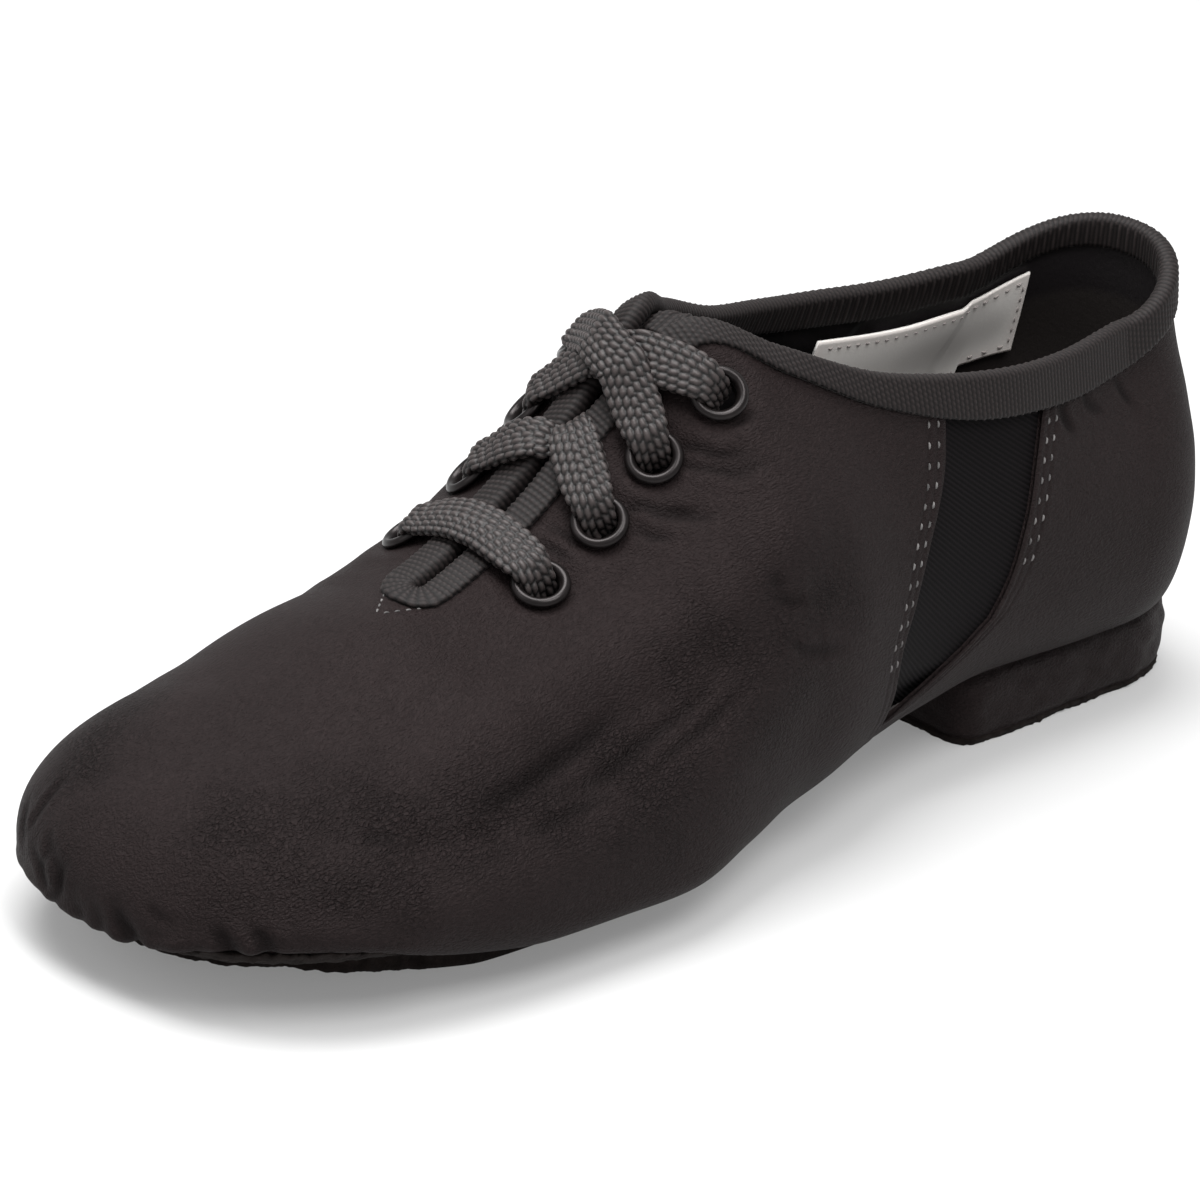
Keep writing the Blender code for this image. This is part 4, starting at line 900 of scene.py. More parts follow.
def binding_loop():
    """Rings of the tape once round: outer side from the slit back, inner side forwards, and a half turn at
    the slit."""
    rings = []
    us = np.concatenate([np.linspace(TURN, 1, 110), np.linspace(1, 0, 36)[1:]])
    share = np.linspace(0, 1, 5)
    for side, run in ((1, us), (-1, us[-2::-1])):
        leg = smooth(run, TAPE_LEG[:, 0], TAPE_LEG[:, 1]) / 1000
        p, n = skin(side, np.repeat(run[:, None], 5, 1), leg[:, None] * share)
        rings += [tape_profile(p[i], n[i]) for i in range(len(run))]
    centre = SLIT_END - SLIT_RAMP
    gap = float(table(np.array([centre]))["gap_outer"][0])
    slope = table(np.array([centre - 0.002, centre + 0.002]))["top"]
    along = 1 / math.hypot(1, (slope[1] - slope[0]) / 0.004)
    for angle in np.radians(np.arange(171, 5, -9)):
        reach = gap + TAPE_LEG[-1, 1] / 1000 * share
        rings.append(tape_profile(*across(reach * math.cos(angle), centre + reach * math.sin(angle) * along)))
    return np.array(rings)


def weave_of(rings, phase, hidden):
    """Height of the weave on rings of tape: a cosine rib for each whole phase, cut into beads by a second
    cosine round the ring that changes over from rib to rib. The hidden places of the ring stay flat."""
    round_it = np.cumsum(np.linalg.norm(np.diff(rings, axis=1, prepend=rings[:, :1]), axis=2), axis=1)
    rib = (0.5 + 0.5 * np.cos(2 * math.pi * phase))[:, None] ** 0.8
    change = 0.5 * (np.floor(phase + 0.5) % 2)[:, None]
    weave = rib * (0.35 + 0.65 * (0.5 + 0.5 * np.cos(2 * math.pi * (round_it / WARP_PITCH + change))))
    weave[:, hidden] = 0
    return weave


def woven_tape(rings, weave, closed):
    """The tape's points raised by its weave along their normals, its faces, and 1 where these look outwards,
    else -1."""
    points = rings.reshape(-1, 3)
    faces = grid_faces(*rings.shape[:2], closed, True)
    outward = facing(points, faces, rings - rings.mean(1, keepdims=True))
    lift = outward * RIB_HEIGHT * weave.reshape(-1)
    return points + vertex_normals(points, faces) * lift[:, None], faces, outward


rings = binding_loop()
rings = np.concatenate([rings, rings[:1]])
run = run_along(rings[:, 14])
count = int(run[-1] / TAPE_STEP)
spots = np.linspace(0, run[-1], count + 1)[:-1]
rings = smooth(spots, run, rings)
weave = weave_of(rings, spots / run[-1] * round(run[-1] / RIB_PITCH), [0, -5, -4, -3, -2, -1])
points, faces, outward = woven_tape(rings, weave, True)
marks = {"rib": weave.reshape(-1)}
mesh_piece("collar_binding", points, [faces[:, ::outward]], [tape], "tape", ["collar_binding"], marks=marks)

# Eyelets: eight blackened metal rings, each a rolled flange over a short barrel through the leather.
EYELET_STEPS = 56
# radius and height of the turned section, in mm, from inside the barrel over the flange and back
EYELET_SECTION = ((2.9, -2.3), (2.92, -0.6), (3.05, 0.55), (3.35, 1.05), (3.75, 1.30), (4.15, 1.30),
                  (4.55, 1.06), (4.82, 0.70), (4.88, 0.38), (4.70, 0.10), (4.3, 0.05), (3.3, 0.12),
                  (3.25, -2.3))

gunmetal, tree, shader = finish_named("blackened_metal", Metallic=0.6, Roughness=0.30,
                                      Specular_IOR_Level=0.35)
colour_by(tree, shader, noise(tree, 420.0, 4.0), (0.006, 0.005, 0.005), (0.020, 0.016, 0.016))


def turned_ring(frame_of, section, steps):
    """A section of radius and height turned about an eyelet's normal: centre + (x cos t + y sin t) radius + n
    height."""
    p, n, x, y = frame_of
    t = np.linspace(0, 2 * math.pi, steps + 1)[:-1, None]
    r, h = np.array(section).T / 1000
    radial = x * np.cos(t)[..., None] + y * np.sin(t)[..., None]
    return p + radial * r[None, :, None] + n * h[None, :, None]


for k, frame_of in enumerate(EYELET_FRAMES):
    name = "eyelet_%s_%d" % ("outer" if k < 4 else "inner", k % 4 + 1)
    ring = turned_ring(frame_of, EYELET_SECTION, EYELET_STEPS)
    faces = grid_faces(*ring.shape[:2], True, True)
    mesh_piece(name, ring.reshape(-1, 3), [faces], [gunmetal], "eyelet", [name])

# Laces: one flat braided lace. A bar crosses over the lowest eyelets, an inverted V comes up from the second
# and dives between the flaps, and a crossing runs from the third eyelets to the uppermost. Every end goes
# down into its eyelet.
BRAID_LONG, BRAID_WIDE, BRAID_HIGH = 0.0019, 0.00126, 0.00048
LACE_STEP, AROUND = 0.0002, 76
# the section: powers of cosine and sine, and the half width and half thickness that its places are spaced by
LACE_POWERS, LACE_HALF = (0.62, 0.80), (0.0042, 0.00095)
# a strand at an eyelet, in mm, from the mouth outwards: lift, width, thickness and how far it curls
MOUTH_LIFT, MOUTH_WIDE = (-3.2, -0.8), (5.0, 5.4, 6.6, 8.0)
MOUTH_THICK, MOUTH_CURL = (2.4, 2.4, 2.2), (0.8, 0.8, 0.3)

lace, tree, shader = finish_named("braided_lace", Roughness=0.50, Sheen_Weight=0.05, Sheen_Roughness=0.3,
                                  Specular_IOR_Level=0.30)
# painted shade: the lace is darker between the braid's cells and lighter on their domes
colour_by(tree, shader, marked(tree, "rib"), (0.0022, 0.0016, 0.0016), (0.040, 0.032, 0.031), 0.25)
emboss(tree, shader, (noise(tree, 2400.0, 3.0), 0.6, 0.00012))


def braid_height(run, round_it):
    """Cells of the braid from 0 to 1: staggered domes, each a power curve along and across, slanting away
    from the middle."""
    slant = run + 0.45 * np.abs(round_it)
    column = np.floor(round_it / BRAID_WIDE + 0.5)
    along = (slant / BRAID_LONG + 0.5 * (column % 2)) % 1
    wide = (round_it / BRAID_WIDE + 0.5) % 1
    return ((1 - np.abs(2 * along - 1) ** 2.6) * (1 - np.abs(2 * wide - 1) ** 2.6)) ** 0.8


def lace_section(t):
    """The section at the angles t: each of the cosine and the sine to its power, with its sign kept."""
    turn = np.stack([np.cos(t), np.sin(t)], 1)
    return np.sign(turn) * np.abs(turn) ** np.array(LACE_POWERS)


def lace_run(b, s, lift, width, thick, cup):
    """A strand along points (b, s) of the skin, raised by lift. Its section is a ring of this width and
    thickness, a power of the cosine by one of the sine, curved across by cup. Gives points, blocks of faces
    and the braid's height."""
    step = np.arange(len(b))
    coarse = np.linspace(0, len(b) - 1, 81)
    drive = smooth(coarse, step, np.stack([b, s, lift, width, thick, cup], 1))
    p, n = across(drive[:, 0], drive[:, 1])
    travel = np.gradient(p, axis=0)
    travel -= n * (travel * n).sum(1)[:, None]
    wide = unit(np.cross(travel, n))
    centre = p + n * drive[:, 2:3]
    run = run_along(centre)
    spots = np.linspace(0, run[-1], int(run[-1] / LACE_STEP))
    line = smooth(spots, run, np.concatenate([centre, wide, drive[:, 3:]], 1))
    centre, wide, size = line[:, :3], unit(line[:, 3:6]), line[:, 6:]
    rise = unit(np.cross(wide, unit(np.gradient(centre, axis=0))))
    t = np.linspace(-math.pi, math.pi, 1441) + math.pi / 2
    way = run_along(lace_section(t) * np.array(LACE_HALF))
    x, y = lace_section(np.interp(np.linspace(0, way[-1], AROUND + 1)[:-1], way, t)).T
    flat = x[None, :] * size[:, 0:1] / 2
    high = y[None, :] * size[:, 1:2] / 2 + size[:, 2:3] * (x[None, :] ** 2 - 0.5)
    ring = centre[:, None] + wide[:, None] * flat[..., None] + rise[:, None] * high[..., None]
    chord = np.linalg.norm(np.diff(np.concatenate([ring, ring[:, :1]], 1), axis=1), axis=2)
    round_it = np.concatenate([np.zeros((len(ring), 1)), np.cumsum(chord, 1)[:, :-1]], 1)
    round_it -= chord.sum(1)[:, None] / 2
    cells = braid_height(spots[:, None], round_it)
    faces = grid_faces(len(ring), AROUND, False, True)
    points = ring.reshape(-1, 3)
    outward = facing(points, faces, ring - centre[:, None])
    lift = outward * BRAID_HIGH * (cells.reshape(-1) - 0.4)
    caps = [np.arange(AROUND)[None, ::-1], (len(ring) - 1) * AROUND + np.arange(AROUND)[None, :]]
    blocks = [block[:, ::outward] for block in [faces] + caps]
    return points + vertex_normals(points, faces) * lift[:, None], blocks, cells.reshape(-1)


def lace_piece(name, runs):
    """Several strands as one piece that replaces the solid of the same name."""
    marks = {"rib": np.concatenate([run[2] for run in runs])}
    return mesh_piece(name, *joined([run[:2] for run in runs]), [lace], "lace", [name], marks=marks)


def eyelet_b(side, k):
    """How far from the ridge an eyelet's centre lies, + outer."""
    gap = float(ribs(side, u_of(EYELETS[k] * LENGTH))["gap"][0])
    return side * (EYELET_DOWN + gap)


def between(start, end, lifts, bow=0.0):
    """Control values of a strand from one eyelet to another, each (side, number): the same at both ends, with
    the lifts in mm between them and the middle moved forward by bow."""
    share = np.array([0.0, 0.012, 0.075, 0.17, 0.30, 0.42, 0.5, 0.58, 0.70, 0.83, 0.925, 0.988, 1.0])
    b0, b1 = eyelet_b(*start), eyelet_b(*end)
    s0, s1 = EYELETS[start[1]] * LENGTH, EYELETS[end[1]] * LENGTH
    b, s = b0 + (b1 - b0) * share, s0 + (s1 - s0) * share
    s = s - bow * np.sin(math.pi * share)
    sizes = ((*MOUTH_LIFT, 2.1, *lifts, 2.1, *MOUTH_LIFT[::-1]),
             (*MOUTH_WIDE, *[8.4] * 5, *MOUTH_WIDE[::-1]),
             (*MOUTH_THICK, *[1.9] * 7, *MOUTH_THICK[::-1]),
             (*MOUTH_CURL, *[0] * 7, *MOUTH_CURL[::-1]))
    return b, s, *(np.array(row) / 1000 for row in sizes)


lace_piece("lace_bar", [lace_run(*between((1, 0), (-1, 0), (2.6, 2.7, 2.7, 2.6, 2.5, 2.3, 2.0), 0.0005))])
apex = (EYELETS[1] * 0.45 + EYELETS[2] * 0.55) * LENGTH
vee_runs = []
for side in (1, -1):
    b0, s0 = eyelet_b(side, 1), EYELETS[1] * LENGTH
    share = np.array([0.0, 0.02, 0.13, 0.30, 0.48, 0.66, 0.82, 0.93, 1.0])
    b = b0 + (-side * 0.0015 - b0) * share
    s = s0 + (apex - 0.0015 * side - s0) * share ** 1.15
    sizes = ((*MOUTH_LIFT, 2.0, 2.5 if side > 0 else 2.1, 2.6, 2.5, 1.5, -0.6, -2.6),
             (*MOUTH_WIDE, 8.4, 8.2, 7.0, 5.5, 4.6),
             (*MOUTH_THICK, *[1.9] * 6),
             (*MOUTH_CURL, 0, 0, 0, 0.3, 0.8, 1.0))
    vee_runs.append(lace_run(b, s, *(np.array(row) / 1000 for row in sizes)))
lace_piece("lace_vee", vee_runs)
over = lace_run(*between((1, 2), (-1, 3), (2.6, 3.4, 4.5, 4.7, 3.9, 2.7, 2.1)))
under = lace_run(*between((-1, 2), (1, 3), (2.2, 2.4, 2.4, 2.3, 2.4, 2.6, 2.6)))
lace_piece("lace_cross", [over, under])

# Stitches: pale grey thread in two rows along each gore edge, through the folded leather, and a short
# corner of them that holds the front end of the throat. Each one is a bead of thread pulled into the skin.
# Pitch, length and thickness of each kind:
GORE_STITCH, THROAT_STITCH = (0.0034, 0.0014, 0.00042), (0.0017, 0.0011, 0.00036)

thread, tree, shader = finish_named("grey_thread", Roughness=0.65, Sheen_Weight=0.3, Sheen_Roughness=0.4)
colour_by(tree, shader, noise(tree, 500.0), (0.028, 0.026, 0.026), (0.13, 0.122, 0.12), 0.35, 0.65)


def stitch_row(line, normal, pitch, long, thick):
    """Beads along a line of points: rings round it whose size is a half ellipse along each bead, sunk at both
    ends."""
    run = run_along(line)
    count = int(run[-1] / pitch)
    t = np.linspace(-1, 1, 7)
    spots = (np.arange(count)[:, None] + 0.5) * run[-1] / count + t * long / 2
    centre, up = smooth(spots, run, line), smooth(spots, run, normal)
    wide = unit(np.cross(up, centre[:, -1:] - centre[:, :1]))
    centre = centre + up * (0.00010 - 0.00028 * t**4)[None, :, None]
    size = (np.sqrt(1 - 0.88 * t**2) * thick / 2)[None, :, None, None]
    a = np.linspace(0, 2 * math.pi, 9)[:-1]
    round_it = wide[:, :, None] * np.cos(a)[:, None] + up[:, :, None] * np.sin(a)[:, None]
    points = (centre[:, :, None] + round_it * size).reshape(-1, 3)
    start = (np.arange(count) * 56)[:, None, None]
    faces = (grid_faces(7, 8, False, True) + start).reshape(-1, 4)
    caps = [(np.arange(8)[::-1] + start).reshape(-1, 8), (48 + np.arange(8) + start).reshape(-1, 8)]
    outward = facing(points, faces, round_it)
    return points, [block[:, ::outward] for block in [faces] + caps]


rows = []
for side in (1, -1):
    for edges, away, lowest in ((front_edge, 1, 1.00), (rear_edge, -1, 1.12)):
        for far in SEAM_ROWS:
            v = np.linspace(1.885, lowest, 160)
            u = u_of(smooth(v, ROWS_V, edges[side]) + away * far)
            p = skin_at(side, u, v)
            ahead = skin_at(side, u + 0.004, v) - skin_at(side, u - 0.004, v)
            below = skin_at(side, u, v - 0.01) - skin_at(side, u, v + 0.01)
            n = unit(np.cross(ahead, below) * side)
            mark = {"edge": np.full(160, far), "side": np.full(160, float(side)), "u": u, "v": v}
            rows.append(stitch_row(p + n * leather_height(p, mark)[:, None], n, *GORE_STITCH))
mesh_piece("gore_stitches", *joined(rows), [thread], "leather")
rows = []
for start, end in (((-0.0052, 0.1815), (0.0002, 0.1905)), ((0.0008, 0.1900), (0.0056, 0.1818))):
    way = np.linspace(start, end, 40)
    rows.append(stitch_row(*across(way[:, 0], way[:, 1]), *THROAT_STITCH))
mesh_piece("throat_stitches", *joined(rows), [thread], "leather")

# Tongue: a thin leather strip under the throat, wrinkled by the laces, with its free end bound in the
# same woven tape. It lies just under the lining of both flaps and bows up at that end.
TONGUE_THICK, TONGUE_UNDER = 0.0012, 0.0021
TONGUE_S = np.array([0.705, 0.680, 0.655, 0.630, 0.605, 0.580, 0.556, 0.536]) * LENGTH
TONGUE_LEG, TONGUE_GRID, TONGUE_BACK = 0.0050, (118, 61), 3


def tongue_frame():
    """Coarse points and normals of the tongue, row by row up it: under the skin, then straight on past the
    throat."""
    half = np.interp(TONGUE_S / LENGTH, [0.53, 0.60, 0.705], [0.0170, 0.0160, 0.0120])
    share = np.linspace(-1, 1, 9)
    p, n = across(share[None, :] * half[:, None], np.repeat(TONGUE_S[:, None], 9, 1))
    p = p - n * (WALL + TONGUE_UNDER)
    ahead = unit(p[-1] - p[-2]) - n[-1] * 0.30
    bow = (1 - share**2)[:, None]
    more = [p[-1] + ahead * (0.0015 + 0.0015 * bow), p[-1] + ahead * (0.0035 + 0.0030 * bow)]
    return np.concatenate([p, np.array(more)]), np.concatenate([n, n[-1:], n[-1:]])


frame_p, frame_n = tongue_frame()
length_up = run_along(frame_p[:, 4])


def on_tongue(distance, cols):
    """Points and normals at the distances up the tongue, in cols places across it."""
    both = smooth(distance, length_up, np.concatenate([frame_p, frame_n], -1))
    both = np.moveaxis(smooth(np.linspace(0, 8, cols), np.arange(9), np.moveaxis(both, 1, 0)), 0, 1)
    return both[..., :3], unit(both[..., 3:])


p, n = on_tongue(np.linspace(0, length_up[-1], TONGUE_GRID[0]), TONGUE_GRID[1])
flat = p.reshape(-1, 3)
wrinkle = 0.00045 * wave_noise(flat, 0.0075, 31, (0.35, 1, 1))
wrinkle += 0.00022 * wave_noise(flat, 0.0032, 32, (0.6, 1, 1))
face = p + n * (wrinkle.reshape(TONGUE_GRID) - 0.0003)[..., None]
under = (p - n * TONGUE_THICK)[::TONGUE_BACK, ::TONGUE_BACK]
blocks = sheet_faces(TONGUE_GRID, TONGUE_BACK, False)
points = np.concatenate([face.reshape(-1, 3), under.reshape(-1, 3)])
outward = facing(points, blocks[0], n)
marks = {"coarse": np.full(len(points), 0.15)}
mesh_piece("tongue", points, [b[:, ::outward] for b in blocks], [leather], "leather", ["tongue"], marks=marks)

# the tape over its free end: down the front, round the end as half an ellipse, and up the back
leg = np.concatenate([[0.0, 0.03], np.linspace(0.10, 1.0, 18)]) * TONGUE_LEG
p, n = on_tongue(length_up[-1] - TONGUE_LEG + leg, 181)
over = unit(p[-1] - p[-2])
middle, half = p[-1] - n[-1] * TONGUE_THICK / 2, TONGUE_THICK / 2 + TAPE
ring = [p[0] + n[0] * 0.0002, p[1] + n[1] * 0.0007] + [p[k] + n[k] * (TAPE + 0.0003) for k in range(2, 20)]
ring += [middle + n[-1] * half * math.cos(q) + over * (TAPE + 0.0003) * math.sin(q) for q in HALF_TURN]
ring += [p[k] - n[k] * (TONGUE_THICK + TAPE) for k in (19, 16, 13, 10, 7, 4)]
ring += [p[2] - n[2] * (TONGUE_THICK + 0.0001), p[19] - n[19] * (TONGUE_THICK + 0.00003)]
ring.append(p[19] + n[19] * 0.00003)
rings = np.stack(ring, 1)
weave = weave_of(rings, run_along(rings[:, 14]) / RIB_PITCH, [0, -3, -2, -1])
points, faces, outward = woven_tape(rings, weave, False)
around = np.arange(rings.shape[1])[None, :]
blocks = [block[:, ::outward] for block in (faces, around[:, ::-1], around + 180 * rings.shape[1])]
marks = {"rib": weave.reshape(-1)}
mesh_piece("tongue_tape", points, blocks, [tape], "tape", ["tongue_binding"], marks=marks)

# Label: a plain pale fabric tag sewn inside the inner side below the collar. It is deeper in front,
# where it lies on the gore's back, and a row of small stitches holds its border.
label_cloth, tree, shader = finish_named("label_cloth", Roughness=0.7, Sheen_Weight=0.1)
colour_by(tree, shader, marked(tree, "edge"), (0.86, 0.80, 0.76), (0.93, 0.90, 0.86), 0.0, 0.35)
emboss(tree, shader, (noise(tree, 1800.0), 0.3, 0.0001))
label_thread, tree, shader = finish_named("label_thread", Base_Color=(0.30, 0.27, 0.26, 1), Roughness=0.7)
emboss(tree, shader, (noise(tree, 900.0), 0.3, 0.0001))


LABEL_TOP, LABEL_ENDS, LABEL_BACK = 0.0068, (0.50, 1.204), 3
LABEL_STITCH = (0.0024, 0.0012, 0.00034)


def label_low(u):
    """How far below the edge the label reaches: 25 mm behind its notch and 35 mm in front."""
    return 0.0250 + 0.0100 * np.clip((u - 0.770) / 0.010, 0, 1)


def in_label(u, a, deep):
    """Points on the label's hidden face moved inwards by deep, and the direction in which its shown face
    looks."""
    p, n = skin(-1, u, a)
    face = -(WALL + 0.0006) - np.clip((u - 0.90) / 0.17, 0, 1) * 0.0018
    return p + n * (face - deep)[..., None], -n


u = np.repeat(np.linspace(*LABEL_ENDS, 145)[:, None], 37, 1)
a = LABEL_TOP + (label_low(u) - LABEL_TOP) * np.linspace(0, 1, 37)
cloth = np.stack([u * 0.045, a, 0 * a], -1).reshape(-1, 3)
bulge = 0.00018 * (1 + wave_noise(cloth, 0.012, 41)).reshape(u.shape)
face, look = in_label(u, a, 0.0004 + bulge)
sparse = (slice(None, None, LABEL_BACK),) * 2
under, _ = in_label(u[sparse], a[sparse], 0.0)
from_ends = np.minimum((u - LABEL_ENDS[0]) * 0.050, (LABEL_ENDS[1] - u) * 0.15)
to_edge = np.minimum(np.minimum(a - LABEL_TOP, label_low(u) - a), from_ends) * 100
blocks = sheet_faces(u.shape, LABEL_BACK, False)
points = np.concatenate([face.reshape(-1, 3), under.reshape(-1, 3)])
marks = {"edge": np.concatenate([np.clip(to_edge, 0, 1).ravel(), np.ones(under[..., 0].size)])}
outward = facing(points, blocks[0], look)
mesh_piece("label", points, [b[:, ::outward] for b in blocks], [label_cloth], "label", ["label"], marks=marks)
rows = []
for bends in (((0.52, 0.0084), (0.85, 0.0084), (1.19, 0.0084)), ((0.525, 0.0088), (0.525, 0.0234)),
              ((0.52, 0.0234), (0.64, 0.0234), (0.755, 0.0234)), ((0.796, 0.0250), (0.796, 0.0334))):
    bends = np.array(bends)
    way = smooth(np.linspace(0, len(bends) - 1, 60), np.arange(len(bends)), bends)
    rows.append(stitch_row(*in_label(way[:, 0], way[:, 1], np.full(60, 0.0006)), *LABEL_STITCH))
mesh_piece("label_stitches", *joined(rows), [label_thread], "label")

# Insole: a thin sock of dark felted lining on the upper's floor, from the heel to the toe.
felt, tree, shader = finish_named("dark_felt", Roughness=0.95, Sheen_Weight=0.15, Specular_IOR_Level=0.2)
nap = noise(tree, 700.0, 5.0)
colour_by(tree, shader, nap, (0.008, 0.007, 0.007), (0.050, 0.042, 0.040))
emboss(tree, shader, (nap, 0.8, 0.0003))
SOCK_THICK, SOCK_LIFT, SOCK_IN = 0.0015, WALL + 0.0006, -0.22


def spine_height(side, u, r):
    """Height of the underside at the spine: the rib's own, and in front of the last section that
    section's."""
    return np.where(u > 2, ribs(side, np.array([2.0]))["sole"][0], r["sole"])


def on_ribs(r, reach, height):
    """Points at these reaches and heights on the ribs, a row of them to each."""
    x = r["x"][:, None] + r["dx"][:, None] * reach
    y = (HEEL_CENTRE - r["s"])[:, None] + r["dy"][:, None] * reach
    return np.stack([x, y, height], -1)


def underfoot(u, share, grow, lift):
    """Points over the underside: u along the foot, share from -1 at the inner rim to 1 at the outer, the rim
    grown by a share of the corner. Height: the spine's and the rim's, mixed in proportion, plus lift."""
    made = []
    for side in (-1, 1):
        r = ribs(side, u)
        part = np.abs(share[None, :])
        reach = (r["wide"] - r["corner"] * (1 - grow))[:, None] * part
        z = spine_height(side, u, r)[:, None] * (1 - part) + r["sole"][:, None] * part
        made.append(on_ribs(r, reach, z + lift))
    return np.where((share > 0)[None, :, None], made[1], made[0])


u = np.concatenate([np.linspace(0, 1, 40)[:-1], np.linspace(1, 2, 110)[:-1], np.linspace(2, 3, 41)])
share = np.linspace(-1, 1, 43)
top = underfoot(u, share, SOCK_IN, SOCK_LIFT + SOCK_THICK)
low_face = underfoot(u, share, SOCK_IN, SOCK_LIFT).reshape(-1, 3)
count, cols = top.shape[:2]
top = top.reshape(-1, 3)
top[:, 2] += 0.00015 * wave_noise(top, 0.012, 51)
under = count * cols
faces = grid_faces(count, cols)
outward = facing(top, faces, np.tile([0.0, 0.0, 1.0], (under, 1)))
blocks = [faces[:, ::outward], (faces + under)[:, ::-outward]]
for rim, turn in ((np.arange(count) * cols, -outward), (np.arange(count) * cols + cols - 1, outward)):
    blocks.append(np.stack([rim[:-1], rim[1:], rim[1:] + under, rim[:-1] + under], 1)[:, ::turn])
mesh_piece("insole", np.concatenate([top, low_face]), blocks, [felt], "lining", ["insole"])

# Forefoot pad: rough dark suede sewn under the ball and toes. Its side climbs into the gap under the
# turned-in leather at the toe, and its edge is ragged.
PAD_THICK, PAD_CLEAR = 0.0040, 0.0003
SIDE_FROM = 0.14
# how far the rim reaches past the flat underside, as a share of the corner, by rib number
PAD_SIDE = np.array([(1.5, 0.20), (1.9, 0.24), (2.1, 0.12), (2.3, -0.06), (2.7, -0.10), (3.0, 0.04)])

suede, tree, shader = finish_named("dark_suede", Roughness=0.95, Sheen_Weight=0.02, Sheen_Roughness=0.5,
                                   Specular_IOR_Level=0.06)
nap = noise(tree, 420.0, 6.0, Roughness=0.7)
colour_by(tree, shader, nap, (0.006, 0.0045, 0.004), (0.016, 0.012, 0.011), 0.35, 0.68)
emboss(tree, shader, (nap, 1.0, 0.0006))


def pad_half(side, u, ragged):
    """One half of the pad's ring at each rib: under the foot from the spine to the rim, up its side along the
    leather's corner, and back over the top. ragged moves its upper edge."""
    r = ribs(side, u)
    grow = np.interp(u, *PAD_SIDE.T)
    rim = r["wide"] - r["corner"] * (1 - grow)
    spine = spine_height(side, u, r) - PAD_CLEAR
    top = r["sole"] - PAD_CLEAR
    low, low_spine = np.maximum(top - PAD_THICK, 0), np.maximum(spine - PAD_THICK, 0)
    place, deep = turned_edge(np.full(u.shape, float(side)), u)
    into = 0.0002 + 0.45 * deep
    top_v = np.clip(0.20 + (place - 0.12 - 0.20) * deep / TURNED_DEEP + ragged, 0.15, 0.9)
    reach, height = [], []
    for part in (0.0, 0.25, 0.5, 0.7, 0.85, 0.95):
        reach.append(rim * part)
        height.append(low_spine * (1 - part) + low * part)
    lift = (top - low) / 5
    for out, rise in ((0.0, 0.0), (0.0003, 0.25), (0.0005, 1.0), (0.0005, 2.2), (0.0004, 3.4)):
        reach.append(rim + out)
        height.append(low + lift * rise)
    for way, push in [(w, 0.0) for w in np.linspace(0, 1, 14)] + [(1.0, 0.0005), (0.5, 0.0005)]:
        v = SIDE_FROM + (top_v - SIDE_FROM) * way
        q, z = profile(r, v)
        q2, z2 = profile(r, v + 0.01)
        tilt = np.hypot(q2 - q, z2 - z)
        reach.append(q - (z2 - z) / tilt * (into + push))
        height.append(z + (q2 - q) / tilt * (into + push))
    for part in (0.9, 0.5, 0.0):
        reach.append(rim * part)
        height.append(spine * (1 - part) + top * part)
    return on_ribs(r, np.array(reach).T, np.array(height).T)


u = np.concatenate([np.linspace(float(u_of(0.545 * LENGTH)), 2, 170)[:-1], np.linspace(2, 3, 141)])
along = np.stack([u * 0.15, 0 * u, 0 * u], 1)
ragged = 0.05 * wave_noise(along, 0.004, 61) + 0.03 * wave_noise(along, 0.0015, 62)
outer_half, inner_half = pad_half(1, u, ragged), pad_half(-1, u, ragged)
rings = np.concatenate([outer_half, inner_half[:, -2:0:-1]], 1)
points = rings.reshape(-1, 3)
faces = grid_faces(len(u), rings.shape[1], False, True)
n = vertex_normals(points, faces)
outward = 1 if n.reshape(rings.shape)[:, 3, 2].sum() < 0 else -1
rough = 0.00028 * wave_noise(points, 0.0034, 63) + 0.00016 * wave_noise(points, 0.0014, 64)
points = points + n * (outward * rough * (points[:, 2] > 0.0006))[:, None]
points[:, 2] = np.maximum(points[:, 2], 0)
cap = np.arange(rings.shape[1])[None, ::-1]
blocks = [faces[:, ::outward], cap[:, ::outward]]
mesh_piece("forefoot_sole", points, blocks, [suede], "suede", ["forefoot_sole"])

# Heel: a low block covered in the same leather, a little swollen, with wrinkles in its cover, a dark
# groove where the upper sits on it and a suede tread whose edge has worn fibres.
TREAD, CORNER = 0.0014, 0.0045
HEEL_TOP, HEEL_SEAT = HEEL_HEIGHT - 0.0003, 0.0118
AROUND_HEEL, TREAD_ROWS = 330, 5
HEEL_MIDDLE = np.array([0, -0.002, 0.007])
# the outline by height: half width, reach behind the first section, and the front face's place along the foot
HEEL_RINGS = np.array([(0.0, 0.0240, 0.0315, 0.0676),
                       (0.0010, 0.0245, 0.0320, 0.0680),
                       (HEEL_TOP, 0.0236, 0.0308, 0.0690)])


def heel_outline(half, reach, front, count):
    """Plan outline round the heel: a superellipse of power three behind, straight sides, and a quarter circle
    at each front corner."""
    angles = np.linspace(-math.pi / 2, math.pi / 2, 121)
    e = 2 / 3
    x = half * np.sign(np.sin(angles)) * np.abs(np.sin(angles)) ** e
    s = FIRST - reach * np.abs(np.cos(angles)) ** e
    c = np.radians(np.linspace(0, 90, 12))
    right_x = half - CORNER + CORNER * np.cos(c)
    right_s = front - CORNER + CORNER * np.sin(c)
    x = np.concatenate([x, right_x, -right_x[::-1], x[:1]])
    s = np.concatenate([s, right_s, right_s[::-1], s[:1]])
    run = run_along(np.stack([x, s], 1))
    at = np.linspace(0, run[-1], count + 1)[:-1]
    return np.interp(at, run, x), HEEL_CENTRE - np.interp(at, run, s)


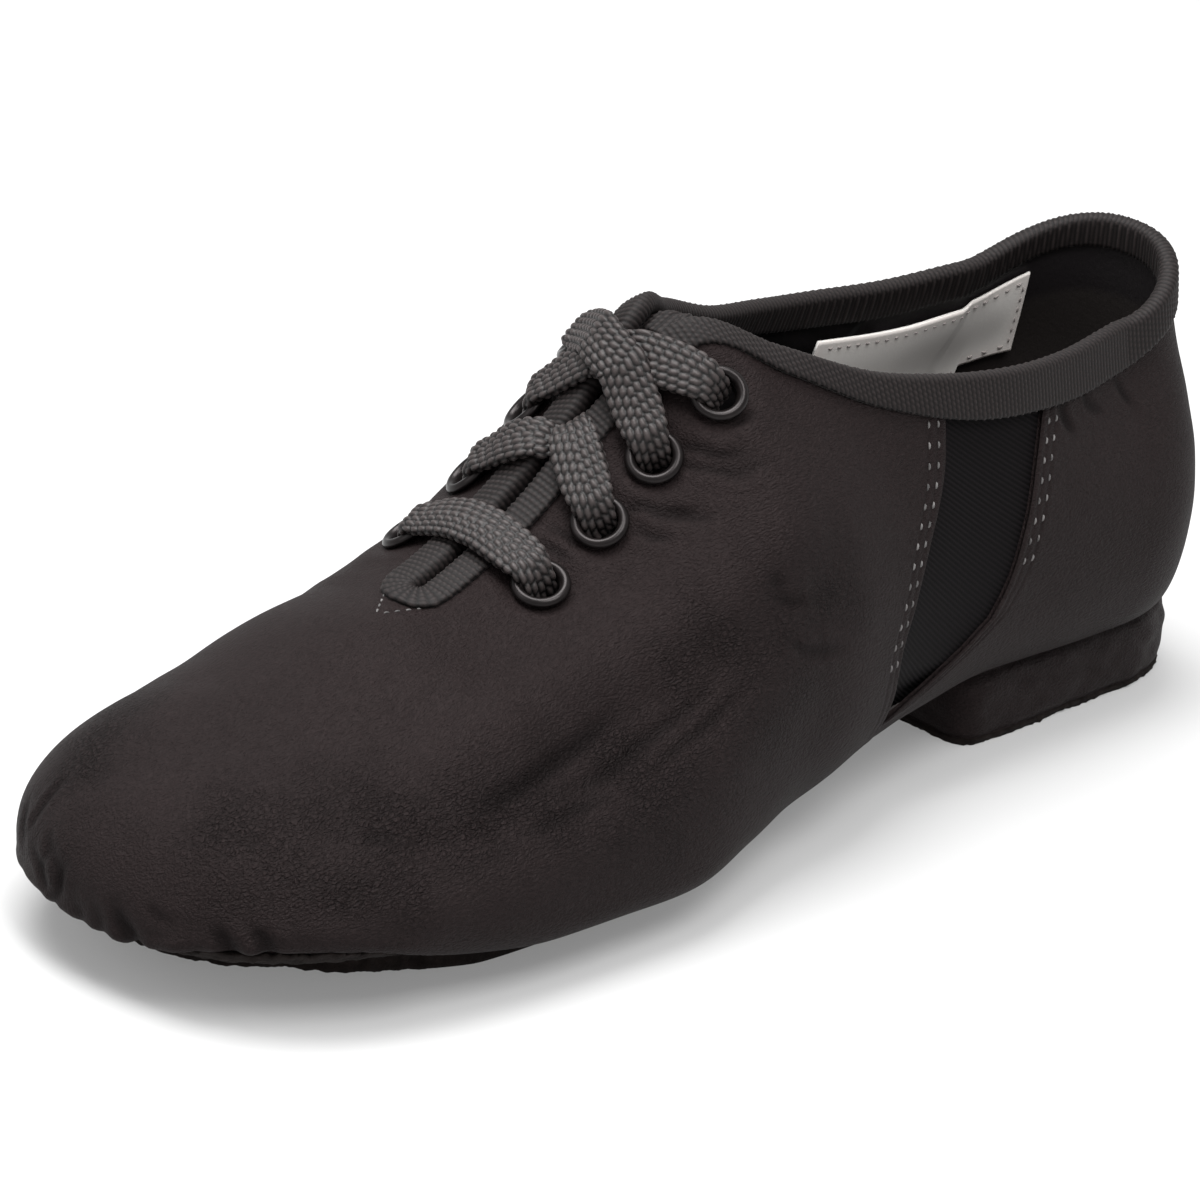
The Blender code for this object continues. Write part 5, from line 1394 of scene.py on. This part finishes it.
levels = np.concatenate([np.linspace(0, TREAD, TREAD_ROWS + 1), np.linspace(TREAD, HEEL_TOP, 30)[1:]])
rings = []
for level in levels:
    size = [np.interp(level, HEEL_RINGS[:, 0], HEEL_RINGS[:, k]) for k in (1, 2, 3)]
    rings.append(np.stack([*heel_outline(*size, AROUND_HEEL), np.full(AROUND_HEEL, level)], 1))
points = np.concatenate(rings)
faces = grid_faces(len(levels), AROUND_HEEL, False, True)
outward = facing(points, faces, points - HEEL_MIDDLE)
n = vertex_normals(points, faces) * outward
z = points[:, 2]
swell = 0.0007 * np.sin(math.pi * np.clip((z - TREAD) / (HEEL_TOP - TREAD), 0, 1)) ** 0.8
soft = 0.00045 * wave_noise(points, 0.014, 71)
soft += 0.00028 * wave_noise(points, 0.006, 72, (1, 1, 1.8)) * (z > TREAD)
seat = -0.0013 * np.clip((z - HEEL_SEAT) / 0.0019, 0, 1) ** 2
seam = -0.00045 * bell((z - TREAD - 0.0002) / 0.00035)
fibres = 0.00045 * np.clip(wave_noise(points, 0.0022, 73), 0.1, 1) + 0.0002 * wave_noise(points, 0.0011, 74)
points = points + n * (swell + soft + seat + seam + fibres * (z < TREAD))[:, None]
points[:, 2] = np.maximum(points[:, 2] + 0.00020 * wave_noise(points, 0.005, 75) * (z > 0.0002), 0)
# the flat ends: the outline drawn in by a tenth, and a plain face inside it
ends = []
for line, height in ((points[:AROUND_HEEL], 0.0), (points[-AROUND_HEEL:], HEEL_TOP)):
    x, y = line[:, 0] * 0.9, HEEL_MIDDLE[1] + (line[:, 1] - HEEL_MIDDLE[1]) * 0.9
    ends.append(np.stack([x, y, np.full(AROUND_HEEL, height)], 1))
ids = np.arange(AROUND_HEEL)
after = (ids + 1) % AROUND_HEEL
low_end, high_end = len(points), len(points) + AROUND_HEEL
last = len(points) - AROUND_HEEL
low_ring = np.stack([ids, low_end + ids, low_end + after, after], 1)[:, ::-1]
high_ring = np.stack([last + ids, last + after, high_end + after, high_end + ids], 1)
in_tread = AROUND_HEEL * TREAD_ROWS
blocks = [faces[:in_tread, ::outward], faces[in_tread:, ::outward], low_ring, high_ring,
          (low_end + ids)[None, ::-1], (high_end + ids)[None, :]]
points = np.concatenate([points] + ends)
marks = {"coarse": np.full(len(points), 0.3)}
mesh_piece("heel", points, blocks, [leather, suede], "heel_leather", ["heel"], [1, 0, 1, 0, 1, 0], marks)
